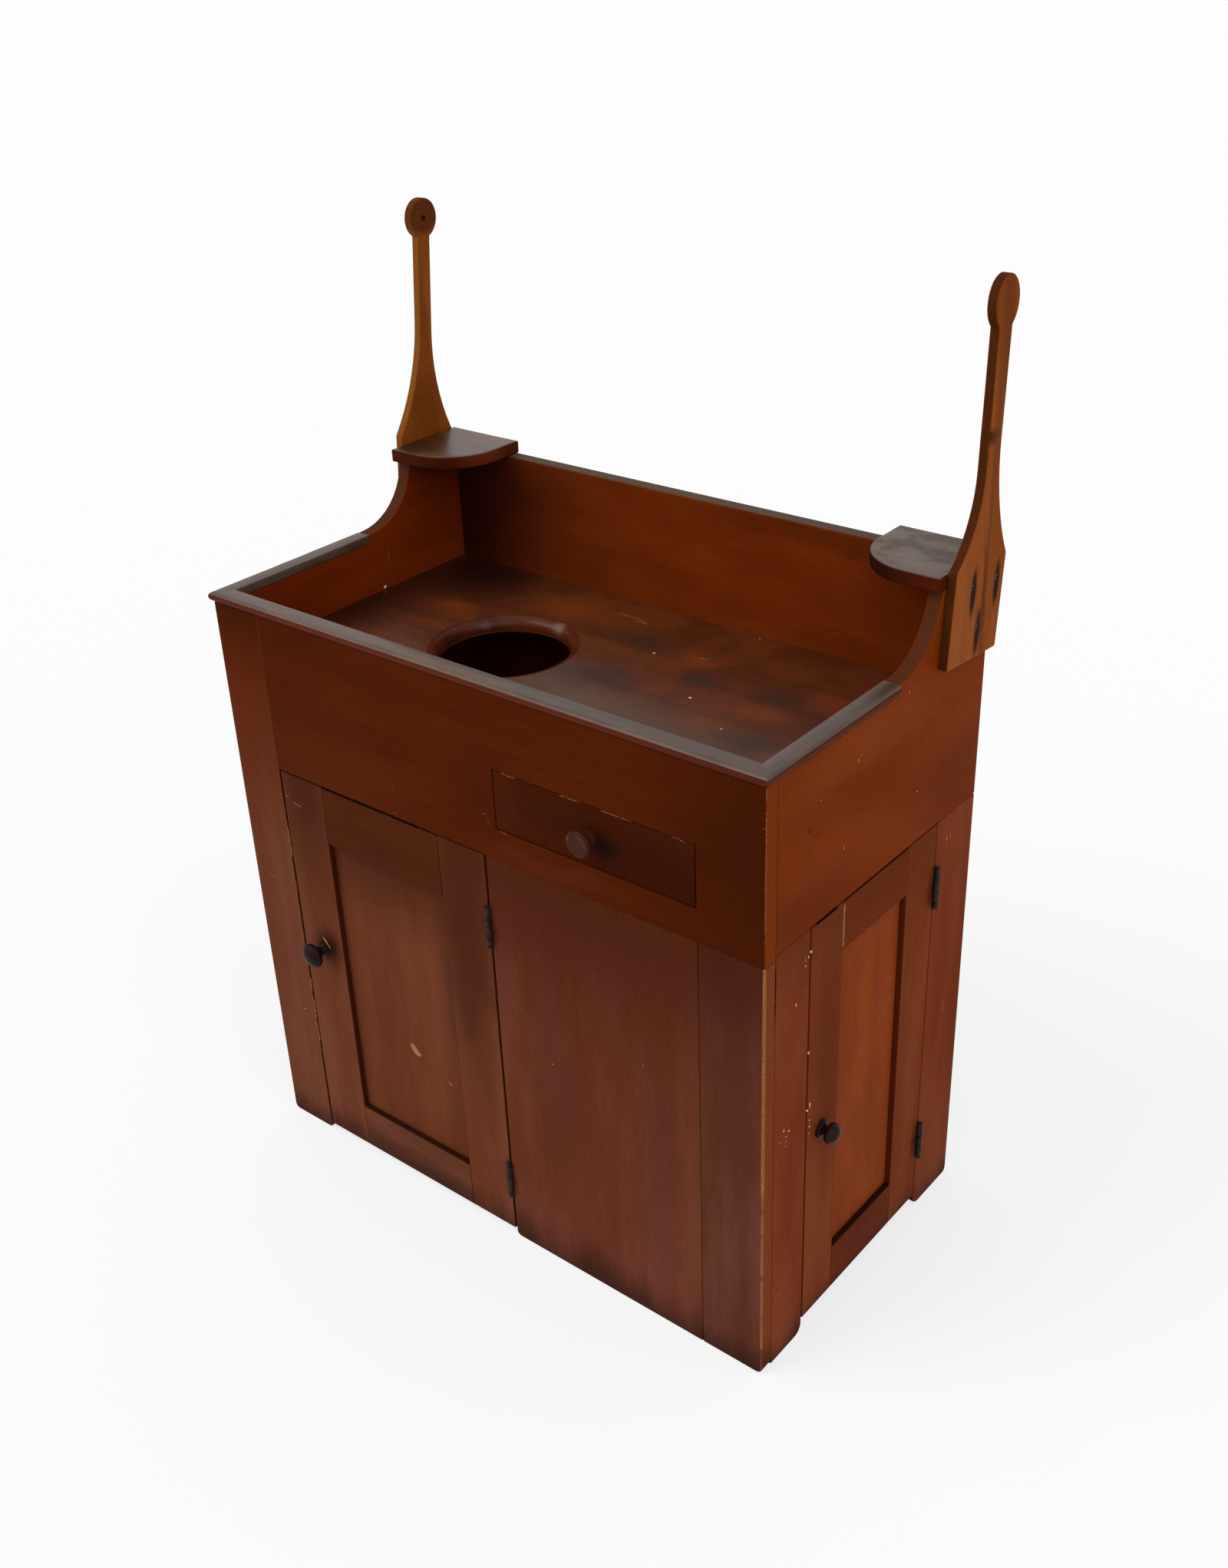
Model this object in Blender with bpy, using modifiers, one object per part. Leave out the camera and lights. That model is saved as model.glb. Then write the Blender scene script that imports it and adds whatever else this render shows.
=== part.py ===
"""Country washstand in pine: a tray with a basin hole on a cupboard with two doors and a drawer.

Metres, +Z up. The front faces -Y and the side door is on the +X side. The origin lies on the floor
under the middle of the whole object's box, knobs and towel arms included.
"""
import math

import bmesh
import bpy
from mathutils import Matrix, Vector

# Whole case
CASE_WIDTH = 0.820
CASE_DEPTH = 0.440
RIM_HEIGHT = 0.808
FRONT_THICKNESS = 0.0195
SIDE_THICKNESS = 0.019
BACK_THICKNESS = 0.0195

# Fits shared by all pieces
FIT = 0.0003
DOOR_GAP = 0.0015
HINGE_GAP = 0.0020
DRAWER_GAP = 0.0010
STOP_GAP = 0.0006
EDGE_ROUND = 0.0012
HIDDEN_EDGE_ROUND = 0.0008
OVERRUN = 0.004
WELD = 0.00001
FLAT_ANGLE = math.radians(1)
ARC_STEP = math.radians(9)
TURN_STEPS = 18

# Front boards
LEFT_STILE_WIDTH = 0.079
RIGHT_STILE_WIDTH = 0.085
FRONT_FOOT_RADIUS = 0.008

# Side boards
SIDE_BOARD_ABOVE_APRON_EDGE = 0.005
SIDE_FRONT_STILE_END = 0.085
SIDE_REAR_STILE_WIDTH = 0.087
SIDE_FOOT_RADIUS = 0.014
SCOOP_FROM_BACK = 0.190
SCOOP_RADIUS = 0.081
DADO_DEPTH = 0.006

# Back boards
BACK_SPLIT = 0.445
BACK_FLOOR_GAP = 0.022

# Rim strips
RIM_THICKNESS = 0.012
RIM_OVERHANG = 0.0042
RIM_FRONT_WIDTH = 0.0250
RIM_SIDE_WIDTH = 0.0240
RIM_END_FROM_BACK = 0.194
RIM_ROUND = 0.0030

# Corner shelves
SHELF_ABOVE_RIM = 0.093
SHELF_THICKNESS = 0.0165
SHELF_WIDTH = 0.118
SHELF_DEPTH = 0.120
SHELF_CORNER_RADIUS = 0.075

# Tray floor and basin hole
WELL_DEPTH = 0.083
WELL_FLOOR_THICKNESS = 0.018
WELL_TONGUE_THICKNESS = 0.012
HOLE_FROM_LEFT = 0.277
HOLE_FROM_FRONT = 0.2185
HOLE_TOP_RADIUS = 0.0947
HOLE_BOTTOM_RADIUS = 0.0827
HOLE_STEPS = 48

# Inside of the case
BOTTOM_BOARD_TOP = 0.064
BOTTOM_BOARD_THICKNESS = 0.019
DIVIDER_THICKNESS = 0.021

# Front door
FRONT_DOOR_WIDTH = 0.3503
FRONT_DOOR_BOTTOM = 0.0095
FRONT_DOOR_STILE = 0.0755
FRONT_DOOR_TOP_RAIL = 0.082
FRONT_DOOR_BOTTOM_RAIL = 0.068
FRONT_DOOR_RECESS = 0.0085
FRONT_KNOB_FROM_EDGE = 0.0365
FRONT_KNOB_HEIGHT = 0.326
FRONT_HINGE_INSETS = {"lower": 0.0875, "upper": 0.0960}

# Side door
SIDE_DOOR_BOTTOM = 0.0202
SIDE_DOOR_STILE = 0.064
SIDE_DOOR_TOP_RAIL = 0.064
SIDE_DOOR_BOTTOM_RAIL = 0.066
SIDE_DOOR_RECESS = 0.0080
SIDE_KNOB_FROM_EDGE = 0.0295
SIDE_KNOB_HEIGHT = 0.297
SIDE_HINGE_INSETS = {"lower": 0.0958, "upper": 0.0860}

# Door frames
PANEL_THICKNESS = 0.0070
GROOVE_DEPTH = 0.008
PANEL_PLAY = 0.0010

# Door hinges
HINGE_LENGTH = 0.056
HINGE_BARREL_RADIUS = 0.0035
HINGE_PIN_RADIUS = 0.0016
HINGE_PIN_CLEARANCE = 0.0002
HINGE_PIN_HEAD_RADIUS = 0.0024
HINGE_PIN_HEAD = 0.0010
HINGE_KNUCKLE_GAP = 0.0004
HINGE_LEAF_THICKNESS = 0.0015
HINGE_LEAF_GAP = 0.0006
HINGE_LEAF_REACH = 0.0140
HINGE_STEPS = 16

# Turn-buttons behind the doors
BUTTON_THICKNESS = 0.011
BUTTON_WIDTH = 0.024
BUTTON_TAIL = 0.014
BUTTON_CATCH = 0.020
SPINDLE_END = 0.0015

# Drawer
DRAWER_FROM_RIGHT = 0.0865
DRAWER_OPENING_WIDTH = 0.280
APRON_UNDER_DRAWER = 0.041
DRAWER_OPENING_HEIGHT = 0.077
DRAWER_HEADROOM = 0.005
DRAWER_REAR_GAP = 0.0355
DRAWER_SIDE_THICKNESS = 0.012
DRAWER_SIDE_HEIGHT = 0.066
DRAWER_BOTTOM_THICKNESS = 0.007
DRAWER_GROOVE_DEPTH = 0.005
DRAWER_GROOVE_HEIGHT = 0.008
RUNNER_WIDTH = 0.024
RUNNER_THICKNESS = 0.018
GUIDE_WIDTH = 0.020
GUIDE_HEIGHT = 0.034

# Turned knobs: head, edge bead, neck and foot
SPINDLE_RADIUS = 0.006
BORE_CLEARANCE = 0.0003
KNOB_FACE_STEPS = 4
KNOB_BEAD_STEPS = 6
KNOB_NECK_STEPS = 6
KNOBS = {
    "drawer": {"head_radius": 0.0163, "face_at": 0.0225, "face_rise": -0.0018, "bead": 0.0034,
               "neck_radius": 0.0060, "neck_at": 0.0080, "foot_radius": 0.0085, "foot": 0.0015},
    "front_door": {"head_radius": 0.0172, "face_at": 0.0255, "face_rise": 0.0040, "bead": 0.0050,
                   "neck_radius": 0.0065, "neck_at": 0.0075, "foot_radius": 0.0105, "foot": 0.0018},
    "side_door": {"head_radius": 0.0130, "face_at": 0.0195, "face_rise": 0.0055, "bead": 0.0050,
                  "neck_radius": 0.0052, "neck_at": 0.0070, "foot_radius": 0.0115, "foot": 0.0040},
}

# Towel arms: a plate on the case, flares up to a leaning neck and a disc, each arm shaped by hand
ARM_THICKNESS = 0.012
ARM_PLATE_CORNER = 0.004
ARM_DISC_STEPS = 28
ARM_FLARE_STEPS = 9
ARMS = {
    "left": {"from_back": 0.0565, "foot_below_rim": 0.0244, "plate_lean": math.radians(3.9),
             "plate_width": 0.1018, "front_height": 0.1255, "rear_height": 0.1093,
             "front_flare": 0.284, "rear_flare": 0.274,
             "neck_lean": math.radians(5.3), "neck_offset": -0.0033, "neck_width": 0.0214,
             "disc_from_foot": 0.3986, "disc_width": 0.0476, "disc_height": 0.0498},
    "right": {"from_back": 0.058, "foot_below_rim": 0.0192, "plate_lean": math.radians(5.0),
              "plate_width": 0.1100, "front_height": 0.1107, "rear_height": 0.1107,
              "front_flare": 0.131, "rear_flare": 0.267,
              "neck_lean": math.radians(2.15), "neck_offset": 0.0097, "neck_width": 0.0267,
              "disc_from_foot": 0.3848, "disc_width": 0.0487, "disc_height": 0.0568},
}
ROD_SOCKET_RADIUS = 0.004
ROD_SOCKET_DEPTH = 0.007

# Wood screws in the towel arms, as offset to the rear and height on the arm's plate
ARM_SCREW_PLACES = ((-0.016, 0.0858), (0.0376, 0.0853), (0.004, 0.0363))
SCREW_LENGTH = 0.026
SCREW_HEAD_RADIUS = 0.0045
SCREW_HEAD_DEPTH = 0.0032
SCREW_SHANK_RADIUS = 0.0022
SCREW_TIP = 0.005
SCREW_SUNK = 0.0006
SCREW_SLOT_WIDTH = 0.0010
SCREW_SLOT_DEPTH = 0.0010
SCREW_STEPS = 12

# Values worked out from the sizes above
DOOR_HINGE_PROUD = HINGE_BARREL_RADIUS + FIT
GROOVE_WIDTH = PANEL_THICKNESS + 2 * FIT
BOARD_TOP = RIM_HEIGHT - RIM_THICKNESS - FIT
SHELF_HEIGHT = RIM_HEIGHT + SHELF_ABOVE_RIM
BACK_TOP = SHELF_HEIGHT - SHELF_THICKNESS - FIT
WELL_FLOOR_TOP = RIM_HEIGHT - WELL_DEPTH
WELL_FLOOR_BOTTOM = WELL_FLOOR_TOP - WELL_FLOOR_THICKNESS
WELL_TONGUE_TOP = WELL_FLOOR_BOTTOM + WELL_TONGUE_THICKNESS
OPENING_TOP = WELL_FLOOR_BOTTOM - DRAWER_HEADROOM
DRAWER_OPENING_BOTTOM = OPENING_TOP - DRAWER_OPENING_HEIGHT
APRON_BOTTOM = DRAWER_OPENING_BOTTOM - APRON_UNDER_DRAWER
BOTTOM_BOARD_BOTTOM = BOTTOM_BOARD_TOP - BOTTOM_BOARD_THICKNESS
FRONT_DOOR_TOP = APRON_BOTTOM - DOOR_GAP
FRONT_HINGE_HEIGHTS = {"lower": FRONT_DOOR_BOTTOM + FRONT_HINGE_INSETS["lower"],
                       "upper": FRONT_DOOR_TOP - FRONT_HINGE_INSETS["upper"]}
SIDE_TOP_BOARD_BOTTOM = APRON_BOTTOM + SIDE_BOARD_ABOVE_APRON_EDGE
SIDE_DOOR_TOP = SIDE_TOP_BOARD_BOTTOM - DOOR_GAP
SIDE_HINGE_HEIGHTS = {"lower": SIDE_DOOR_BOTTOM + SIDE_HINGE_INSETS["lower"],
                      "upper": SIDE_DOOR_TOP - SIDE_HINGE_INSETS["upper"]}
SIDE_REAR_STILE_START = CASE_DEPTH - SIDE_REAR_STILE_WIDTH
SCOOP_START = CASE_DEPTH - SCOOP_FROM_BACK
RIM_END = CASE_DEPTH - RIM_END_FROM_BACK
DRAWER_LENGTH = CASE_DEPTH - BACK_THICKNESS - DRAWER_REAR_GAP
SIDE_DOOR_WIDTH = SIDE_REAR_STILE_START - HINGE_GAP - SIDE_FRONT_STILE_END - DOOR_GAP


def knob_reach(size):
    """How far a knob stands out from the face that it sits on."""
    return size["face_at"] + max(size["face_rise"], 0.0)


def ellipse(centre, radii, start, end, steps):
    """Points on an elliptical arc, from the start angle to the end angle, both included."""
    points = []
    for step in range(steps + 1):
        angle = start + (end - start) * step / steps
        points.append((centre[0] + radii[0] * math.cos(angle), centre[1] + radii[1] * math.sin(angle)))
    return points


def arc(centre, radius, start, end):
    """Points on a circular arc, with a step near the shared arc step."""
    steps = max(2, round(abs(end - start) / ARC_STEP))
    return ellipse(centre, (radius, radius), start, end, steps)


def turn(points, angle):
    """Points turned in their plane about its origin, towards the first axis as the angle grows."""
    return [(u * math.cos(angle) + v * math.sin(angle), v * math.cos(angle) - u * math.sin(angle))
            for u, v in points]


def flare(kink, edge, radius):
    """Hollow arc from a plate's kink up to where it meets the neck's straight edge."""
    outward = math.copysign(1, kink[0] - edge)
    angle = math.acos(1 - abs(kink[0] - edge) / radius)
    centre = (edge + outward * radius, kink[1] + radius * math.sin(angle))
    return ellipse(centre, (-outward * radius, radius), -angle, 0, ARM_FLARE_STEPS)


def arm_outline(arm):
    """Plate, flares, neck and disc of one towel arm: offset to the rear and height over its foot."""
    half = arm["plate_width"] / 2
    neck, offset = arm["neck_width"] / 2, arm["neck_offset"]
    radii = (arm["disc_width"] / 2, arm["disc_height"] / 2)
    plate = arc((half - ARM_PLATE_CORNER, ARM_PLATE_CORNER), ARM_PLATE_CORNER, -math.pi / 2, 0)
    plate += [(half, arm["rear_height"]), (-half, arm["front_height"]), (-half, 0)]
    plate = turn(plate, arm["plate_lean"] - arm["neck_lean"])
    rear_kink, front_kink, front_foot = plate[-3:]
    joint = math.asin(neck / radii[0]) - math.pi / 2
    outline = plate[:-3]
    outline += flare(rear_kink, offset + neck, arm["rear_flare"])
    outline += ellipse((offset, arm["disc_from_foot"]), radii, joint, math.pi - joint, ARM_DISC_STEPS)
    outline += reversed(flare(front_kink, offset - neck, arm["front_flare"]))
    return turn(outline + [front_foot], arm["neck_lean"])


# Outer faces of the case, placed so that the whole object's box is centred on the origin
LEFT_REACH = FIT + ARM_THICKNESS
RIGHT_REACH = max(FIT + ARM_THICKNESS, knob_reach(KNOBS["side_door"]))
FRONT_REACH = max(RIM_OVERHANG, knob_reach(KNOBS["drawer"]), knob_reach(KNOBS["front_door"]))
BACK_REACH = max(0.0, *(u - arm["from_back"] for arm in ARMS.values() for u, _ in arm_outline(arm)))
LEFT = (LEFT_REACH - RIGHT_REACH - CASE_WIDTH) / 2
RIGHT = LEFT + CASE_WIDTH
FRONT = (FRONT_REACH - BACK_REACH - CASE_DEPTH) / 2
BACK = FRONT + CASE_DEPTH

# Planes that several pieces share
INNER_LEFT = LEFT + SIDE_THICKNESS
INNER_RIGHT = RIGHT - SIDE_THICKNESS
INNER_FRONT = FRONT + FRONT_THICKNESS
INNER_BACK = BACK - BACK_THICKNESS
DOOR_LATCH_EDGE = LEFT + LEFT_STILE_WIDTH + DOOR_GAP
FRONT_HINGE_X = DOOR_LATCH_EDGE + FRONT_DOOR_WIDTH + HINGE_GAP / 2
PANEL_LEFT = FRONT_HINGE_X + HINGE_GAP / 2
PANEL_RIGHT = RIGHT - RIGHT_STILE_WIDTH
SIDE_HINGE_Y = FRONT + SIDE_REAR_STILE_START - HINGE_GAP / 2
OPENING_RIGHT = RIGHT - DRAWER_FROM_RIGHT
OPENING_LEFT = OPENING_RIGHT - DRAWER_OPENING_WIDTH
DRAWER_BASE = DRAWER_OPENING_BOTTOM + DRAWER_GAP
DRAWER_LEFT = OPENING_LEFT + DRAWER_GAP
DRAWER_RIGHT = OPENING_RIGHT - DRAWER_GAP


def clear_scene():
    for obj in list(bpy.data.objects):
        bpy.data.objects.remove(obj, do_unlink=True)


def collection(name):
    group = bpy.data.collections.new(name)
    bpy.context.scene.collection.children.link(group)
    return group


def wood(name, colour, roughness=0.45):
    return finish(name, colour, roughness, 0.0)


def finish(name, colour, roughness, metallic):
    mat = bpy.data.materials.new(name)
    mat.use_nodes = True
    shader = mat.node_tree.nodes["Principled BSDF"]
    shader.inputs["Base Color"].default_value = (*colour, 1.0)
    shader.inputs["Roughness"].default_value = roughness
    shader.inputs["Metallic"].default_value = metallic
    mat.diffuse_color = (*colour, 1.0)
    return mat


def place(obj, group, material=None, parent=None, location=(0, 0, 0)):
    """Link an object into its collection, at a place in its parent's frame."""
    group.objects.link(obj)
    obj.parent = parent
    obj.location = location
    if material:
        obj.data.materials.append(material)
    return obj


def pivot(name, location, turn_z=0.0):
    """An empty that carries the pieces of one moving group."""
    empty = bpy.data.objects.new(name, None)
    place(empty, parts, location=location)
    empty.rotation_euler = (0, 0, turn_z)
    return empty


def box_mesh(name, low, high):
    """A box as a mesh about its own centre, with that centre."""
    low, high = Vector(low), Vector(high)
    shape = bmesh.new()
    bmesh.ops.create_cube(shape, size=1, matrix=Matrix.Diagonal((*(high - low), 1)))
    mesh = bpy.data.meshes.new(name)
    shape.to_mesh(mesh)
    shape.free()
    return mesh, (low + high) / 2


def soften(obj, width):
    """Round an object's sharp edges, as planed and worn boards have them."""
    bevel = obj.modifiers.new("worn edges", "BEVEL")
    bevel.width = width
    bevel.segments = 1
    bevel.limit_method = "ANGLE"
    bevel.angle_limit = math.radians(40)
    bevel.use_clamp_overlap = True


def board(name, low, high, material, parent=None, rounding=EDGE_ROUND):
    """A sawn and planed board between two corners."""
    mesh, centre = box_mesh(name, low, high)
    obj = place(bpy.data.objects.new(name, mesh), parts, material, parent, centre)
    soften(obj, rounding)
    return obj


AXES = {
    "x": Matrix(((0, 0, 1), (1, 0, 0), (0, 1, 0))).to_4x4(),
    "y": Matrix(((1, 0, 0), (0, 0, -1), (0, 1, 0))).to_4x4(),
    "z": Matrix.Identity(4),
}


def sawn_mesh(name, outlines, axis, start, end):
    """Flat outlines, the first one solid and the rest holes, extruded along an axis as one closed mesh.

    The outline's two axes are Y and Z for axis x, X and Z for axis y, and X and Y for axis z.
    """
    curve = bpy.data.curves.new(name, "CURVE")
    curve.dimensions = "2D"
    curve.fill_mode = "BOTH"
    curve.extrude = (end - start) / 2
    for outline in outlines:
        spline = curve.splines.new("POLY")
        spline.points.add(len(outline) - 1)
        for point, (u, v) in zip(spline.points, outline):
            point.co = (u, v, 0, 1)
        spline.use_cyclic_u = True
    drawn = bpy.data.objects.new(name, curve)
    bpy.context.scene.collection.objects.link(drawn)
    mesh = bpy.data.meshes.new_from_object(drawn.evaluated_get(bpy.context.evaluated_depsgraph_get()))
    bpy.data.objects.remove(drawn)
    bpy.data.curves.remove(curve)
    mesh.name = name
    along = {"x": Vector((1, 0, 0)), "y": Vector((0, 1, 0)), "z": Vector((0, 0, 1))}[axis]
    mesh.transform(Matrix.Translation(along * (start + end) / 2) @ AXES[axis])
    shape = bmesh.new()
    shape.from_mesh(mesh)
    bmesh.ops.remove_doubles(shape, verts=shape.verts, dist=WELD)
    bmesh.ops.dissolve_limit(shape, angle_limit=FLAT_ANGLE, verts=shape.verts, edges=shape.edges)
    bmesh.ops.recalc_face_normals(shape, faces=shape.faces)
    shape.to_mesh(mesh)
    shape.free()
    mesh.materials.clear()
    return mesh


def sawn(name, outlines, axis, start, end, material, parent=None, rounding=EDGE_ROUND):
    """A board sawn to a flat outline, with any holes in it."""
    mesh = sawn_mesh(name, outlines, axis, start, end)
    obj = place(bpy.data.objects.new(name, mesh), parts, material, parent)
    if rounding:
        soften(obj, rounding)
    return obj


def turned(name, profile, material, parent=None, location=(0, 0, 0), rotation=(0, 0, 0), steps=TURN_STEPS):
    """A turned piece from a profile of radius and height that runs down its outer side."""
    mesh = bpy.data.meshes.new(name)
    edges = [(i, i + 1) for i in range(len(profile) - 1)]
    mesh.from_pydata([(radius, 0, height) for radius, height in profile], edges, [])
    obj = place(bpy.data.objects.new(name, mesh), parts, material, parent, location)
    obj.rotation_euler = rotation
    screw = obj.modifiers.new("turning", "SCREW")
    screw.axis = "Z"
    screw.angle = math.tau
    screw.steps = steps
    screw.render_steps = steps
    screw.use_merge_vertices = True
    screw.merge_threshold = WELD
    screw.use_smooth_shade = False
    return obj


def cutter(obj):
    """Move an object to the cutters, where it is drawn as wire and never rendered."""
    for group in list(obj.users_collection):
        group.objects.unlink(obj)
    cutters.objects.link(obj)
    obj.hide_render = True
    obj.display_type = "WIRE"
    return obj


def cut(obj, tool):
    boolean = obj.modifiers.new("cut " + tool.name, "BOOLEAN")
    boolean.operation = "DIFFERENCE"
    boolean.solver = "EXACT"
    boolean.object = tool


def box_cutter(name, low, high, parent=None):
    mesh, centre = box_mesh(name, low, high)
    return cutter(place(bpy.data.objects.new(name, mesh), parts, None, parent, centre))


def round_cutter(name, radius, low, high, parent=None, location=(0, 0, 0), rotation=(0, 0, 0),
                 steps=TURN_STEPS, low_radius=None):
    """A round cutter between two heights on its own Z axis, straight or tapered."""
    foot = low_radius or radius
    profile = [(0, high), (radius, high), (foot, low), (0, low)]
    return cutter(turned(name, profile, None, parent, location, rotation, steps))


def foot_corner(across, radius, towards):
    """A rounded bottom corner at the floor, listed so that the outline runs on to the right."""
    if towards > 0:
        return arc((across + radius, radius), radius, math.pi, 1.5 * math.pi)
    return arc((across - radius, radius), radius, 1.5 * math.pi, 2 * math.pi)


def standing_board(name, axis, low, high, top, start, end, left_foot, right_foot, material):
    """An upright board that stands on the floor, with a rounded corner where a foot radius is given."""
    outline = foot_corner(low, left_foot, 1) if left_foot else [(low, 0)]
    outline += foot_corner(high, right_foot, -1) if right_foot else [(high, 0)]
    outline += [(high, top), (low, top)]
    return sawn(name, [outline], axis, start, end, material)


def make_front():
    """Left stile, apron with the drawer opening, fixed panel and right stile."""
    under_apron = APRON_BOTTOM - FIT
    standing_board("front_left_stile", "y", LEFT, LEFT + LEFT_STILE_WIDTH, BOARD_TOP, FRONT, INNER_FRONT,
                   FRONT_FOOT_RADIUS, FRONT_FOOT_RADIUS, case_wood)
    apron_left = LEFT + LEFT_STILE_WIDTH + FIT
    apron = [(apron_left, APRON_BOTTOM), (RIGHT, APRON_BOTTOM), (RIGHT, BOARD_TOP), (apron_left, BOARD_TOP)]
    opening = [(OPENING_LEFT, DRAWER_OPENING_BOTTOM), (OPENING_LEFT, OPENING_TOP),
               (OPENING_RIGHT, OPENING_TOP), (OPENING_RIGHT, DRAWER_OPENING_BOTTOM)]
    sawn("front_apron", [apron, opening], "y", FRONT, INNER_FRONT, case_wood, rounding=HIDDEN_EDGE_ROUND)
    standing_board("front_panel", "y", PANEL_LEFT, PANEL_RIGHT - FIT, under_apron, FRONT, INNER_FRONT,
                   FRONT_FOOT_RADIUS, 0, door_wood)
    standing_board("front_right_stile", "y", PANEL_RIGHT, RIGHT, under_apron, FRONT, INNER_FRONT,
                   0, FRONT_FOOT_RADIUS, case_wood)


def side_top_edge():
    """Top edge of a side board from the rear to the front: shelf seat, scoop and rim seat."""
    centre = (FRONT + SCOOP_START, RIM_HEIGHT + SCOOP_RADIUS)
    seat_angle = -math.asin((centre[1] - BACK_TOP) / SCOOP_RADIUS)
    edge = [(BACK, BACK_TOP)]
    edge += arc(centre, SCOOP_RADIUS, seat_angle, -math.pi / 2)
    rim_end = FRONT + RIM_END
    edge += [(rim_end, RIM_HEIGHT), (rim_end, BOARD_TOP), (INNER_FRONT + FIT, BOARD_TOP)]
    return edge


def cut_well_dado(obj, side):
    """Groove across a side board that takes the tongue of the tray floor."""
    inner = {"left": INNER_LEFT, "right": INNER_RIGHT}[side]
    depth = {"left": -DADO_DEPTH, "right": DADO_DEPTH}[side]
    span = sorted((inner + depth, inner - math.copysign(OVERRUN, depth)))
    cut(obj, box_cutter("well dado " + side, (span[0], FRONT - OVERRUN, WELL_FLOOR_BOTTOM - FIT),
                        (span[1], INNER_BACK, WELL_TONGUE_TOP + FIT)))


def cut_bottom_dado(obj, side):
    """Housing in the side pieces for the bottom board."""
    inner = {"left": INNER_LEFT, "right": INNER_RIGHT}[side]
    depth = {"left": -DADO_DEPTH, "right": DADO_DEPTH}[side]
    span = sorted((inner + depth, inner - math.copysign(OVERRUN, depth)))
    tool = box_cutter("bottom dado " + obj.name, (span[0], FRONT - OVERRUN, BOTTOM_BOARD_BOTTOM - FIT),
                      (span[1], INNER_BACK, BOTTOM_BOARD_TOP + FIT))
    cut(obj, tool)


def make_sides():
    """Left side in one board, right side as a wide top board over two stiles."""
    front = INNER_FRONT + FIT
    left = sawn("left_side", [[(front, 0), (BACK, 0)] + side_top_edge()], "x", LEFT, INNER_LEFT, case_wood)
    cut_well_dado(left, "left")
    cut_bottom_dado(left, "left")
    lower = [(front, SIDE_TOP_BOARD_BOTTOM), (BACK, SIDE_TOP_BOARD_BOTTOM)]
    right = sawn("right_upper_side", [lower + side_top_edge()], "x", INNER_RIGHT, RIGHT, side_wood)
    cut_well_dado(right, "right")
    under = SIDE_TOP_BOARD_BOTTOM - FIT
    stile = standing_board("side_front_stile", "x", front, FRONT + SIDE_FRONT_STILE_END, under,
                           INNER_RIGHT, RIGHT, 0, SIDE_FOOT_RADIUS, side_wood)
    cut_bottom_dado(stile, "right")
    stile = standing_board("side_rear_stile", "x", FRONT + SIDE_REAR_STILE_START, BACK, under,
                           INNER_RIGHT, RIGHT, SIDE_FOOT_RADIUS, FRONT_FOOT_RADIUS, side_wood)
    cut_bottom_dado(stile, "right")
    return left, right, stile


def make_back():
    """Backboard of the tray and a second wide board under it."""
    low, high = INNER_LEFT + FIT, INNER_RIGHT - FIT
    board("backboard", (low, INNER_BACK, BACK_SPLIT), (high, BACK, BACK_TOP), well_wood)
    board("back_lower_board", (low, INNER_BACK, BACK_FLOOR_GAP), (high, BACK, BACK_SPLIT - FIT), raw_wood)


def make_well_floor():
    """Tray floor with a tongue along each end, and the bevelled hole that holds the basin."""
    left_tip, right_tip = INNER_LEFT - DADO_DEPTH + FIT, INNER_RIGHT + DADO_DEPTH - FIT
    left, right = INNER_LEFT + FIT, INNER_RIGHT - FIT
    section = [(left_tip, WELL_FLOOR_BOTTOM), (right_tip, WELL_FLOOR_BOTTOM), (right_tip, WELL_TONGUE_TOP),
               (right, WELL_TONGUE_TOP), (right, WELL_FLOOR_TOP), (left, WELL_FLOOR_TOP),
               (left, WELL_TONGUE_TOP), (left_tip, WELL_TONGUE_TOP)]
    floor = sawn("well_floor", [section], "y", INNER_FRONT + FIT, INNER_BACK - FIT, floor_wood, rounding=FIT)
    slope = (HOLE_TOP_RADIUS - HOLE_BOTTOM_RADIUS) / WELL_FLOOR_THICKNESS
    top = HOLE_TOP_RADIUS + slope * OVERRUN
    bottom = HOLE_BOTTOM_RADIUS - slope * OVERRUN
    place_at = (LEFT + HOLE_FROM_LEFT, FRONT + HOLE_FROM_FRONT, 0)
    cut(floor, round_cutter("basin hole", top, WELL_FLOOR_BOTTOM - OVERRUN, WELL_FLOOR_TOP + OVERRUN,
                            location=place_at, steps=HOLE_STEPS, low_radius=bottom))


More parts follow.
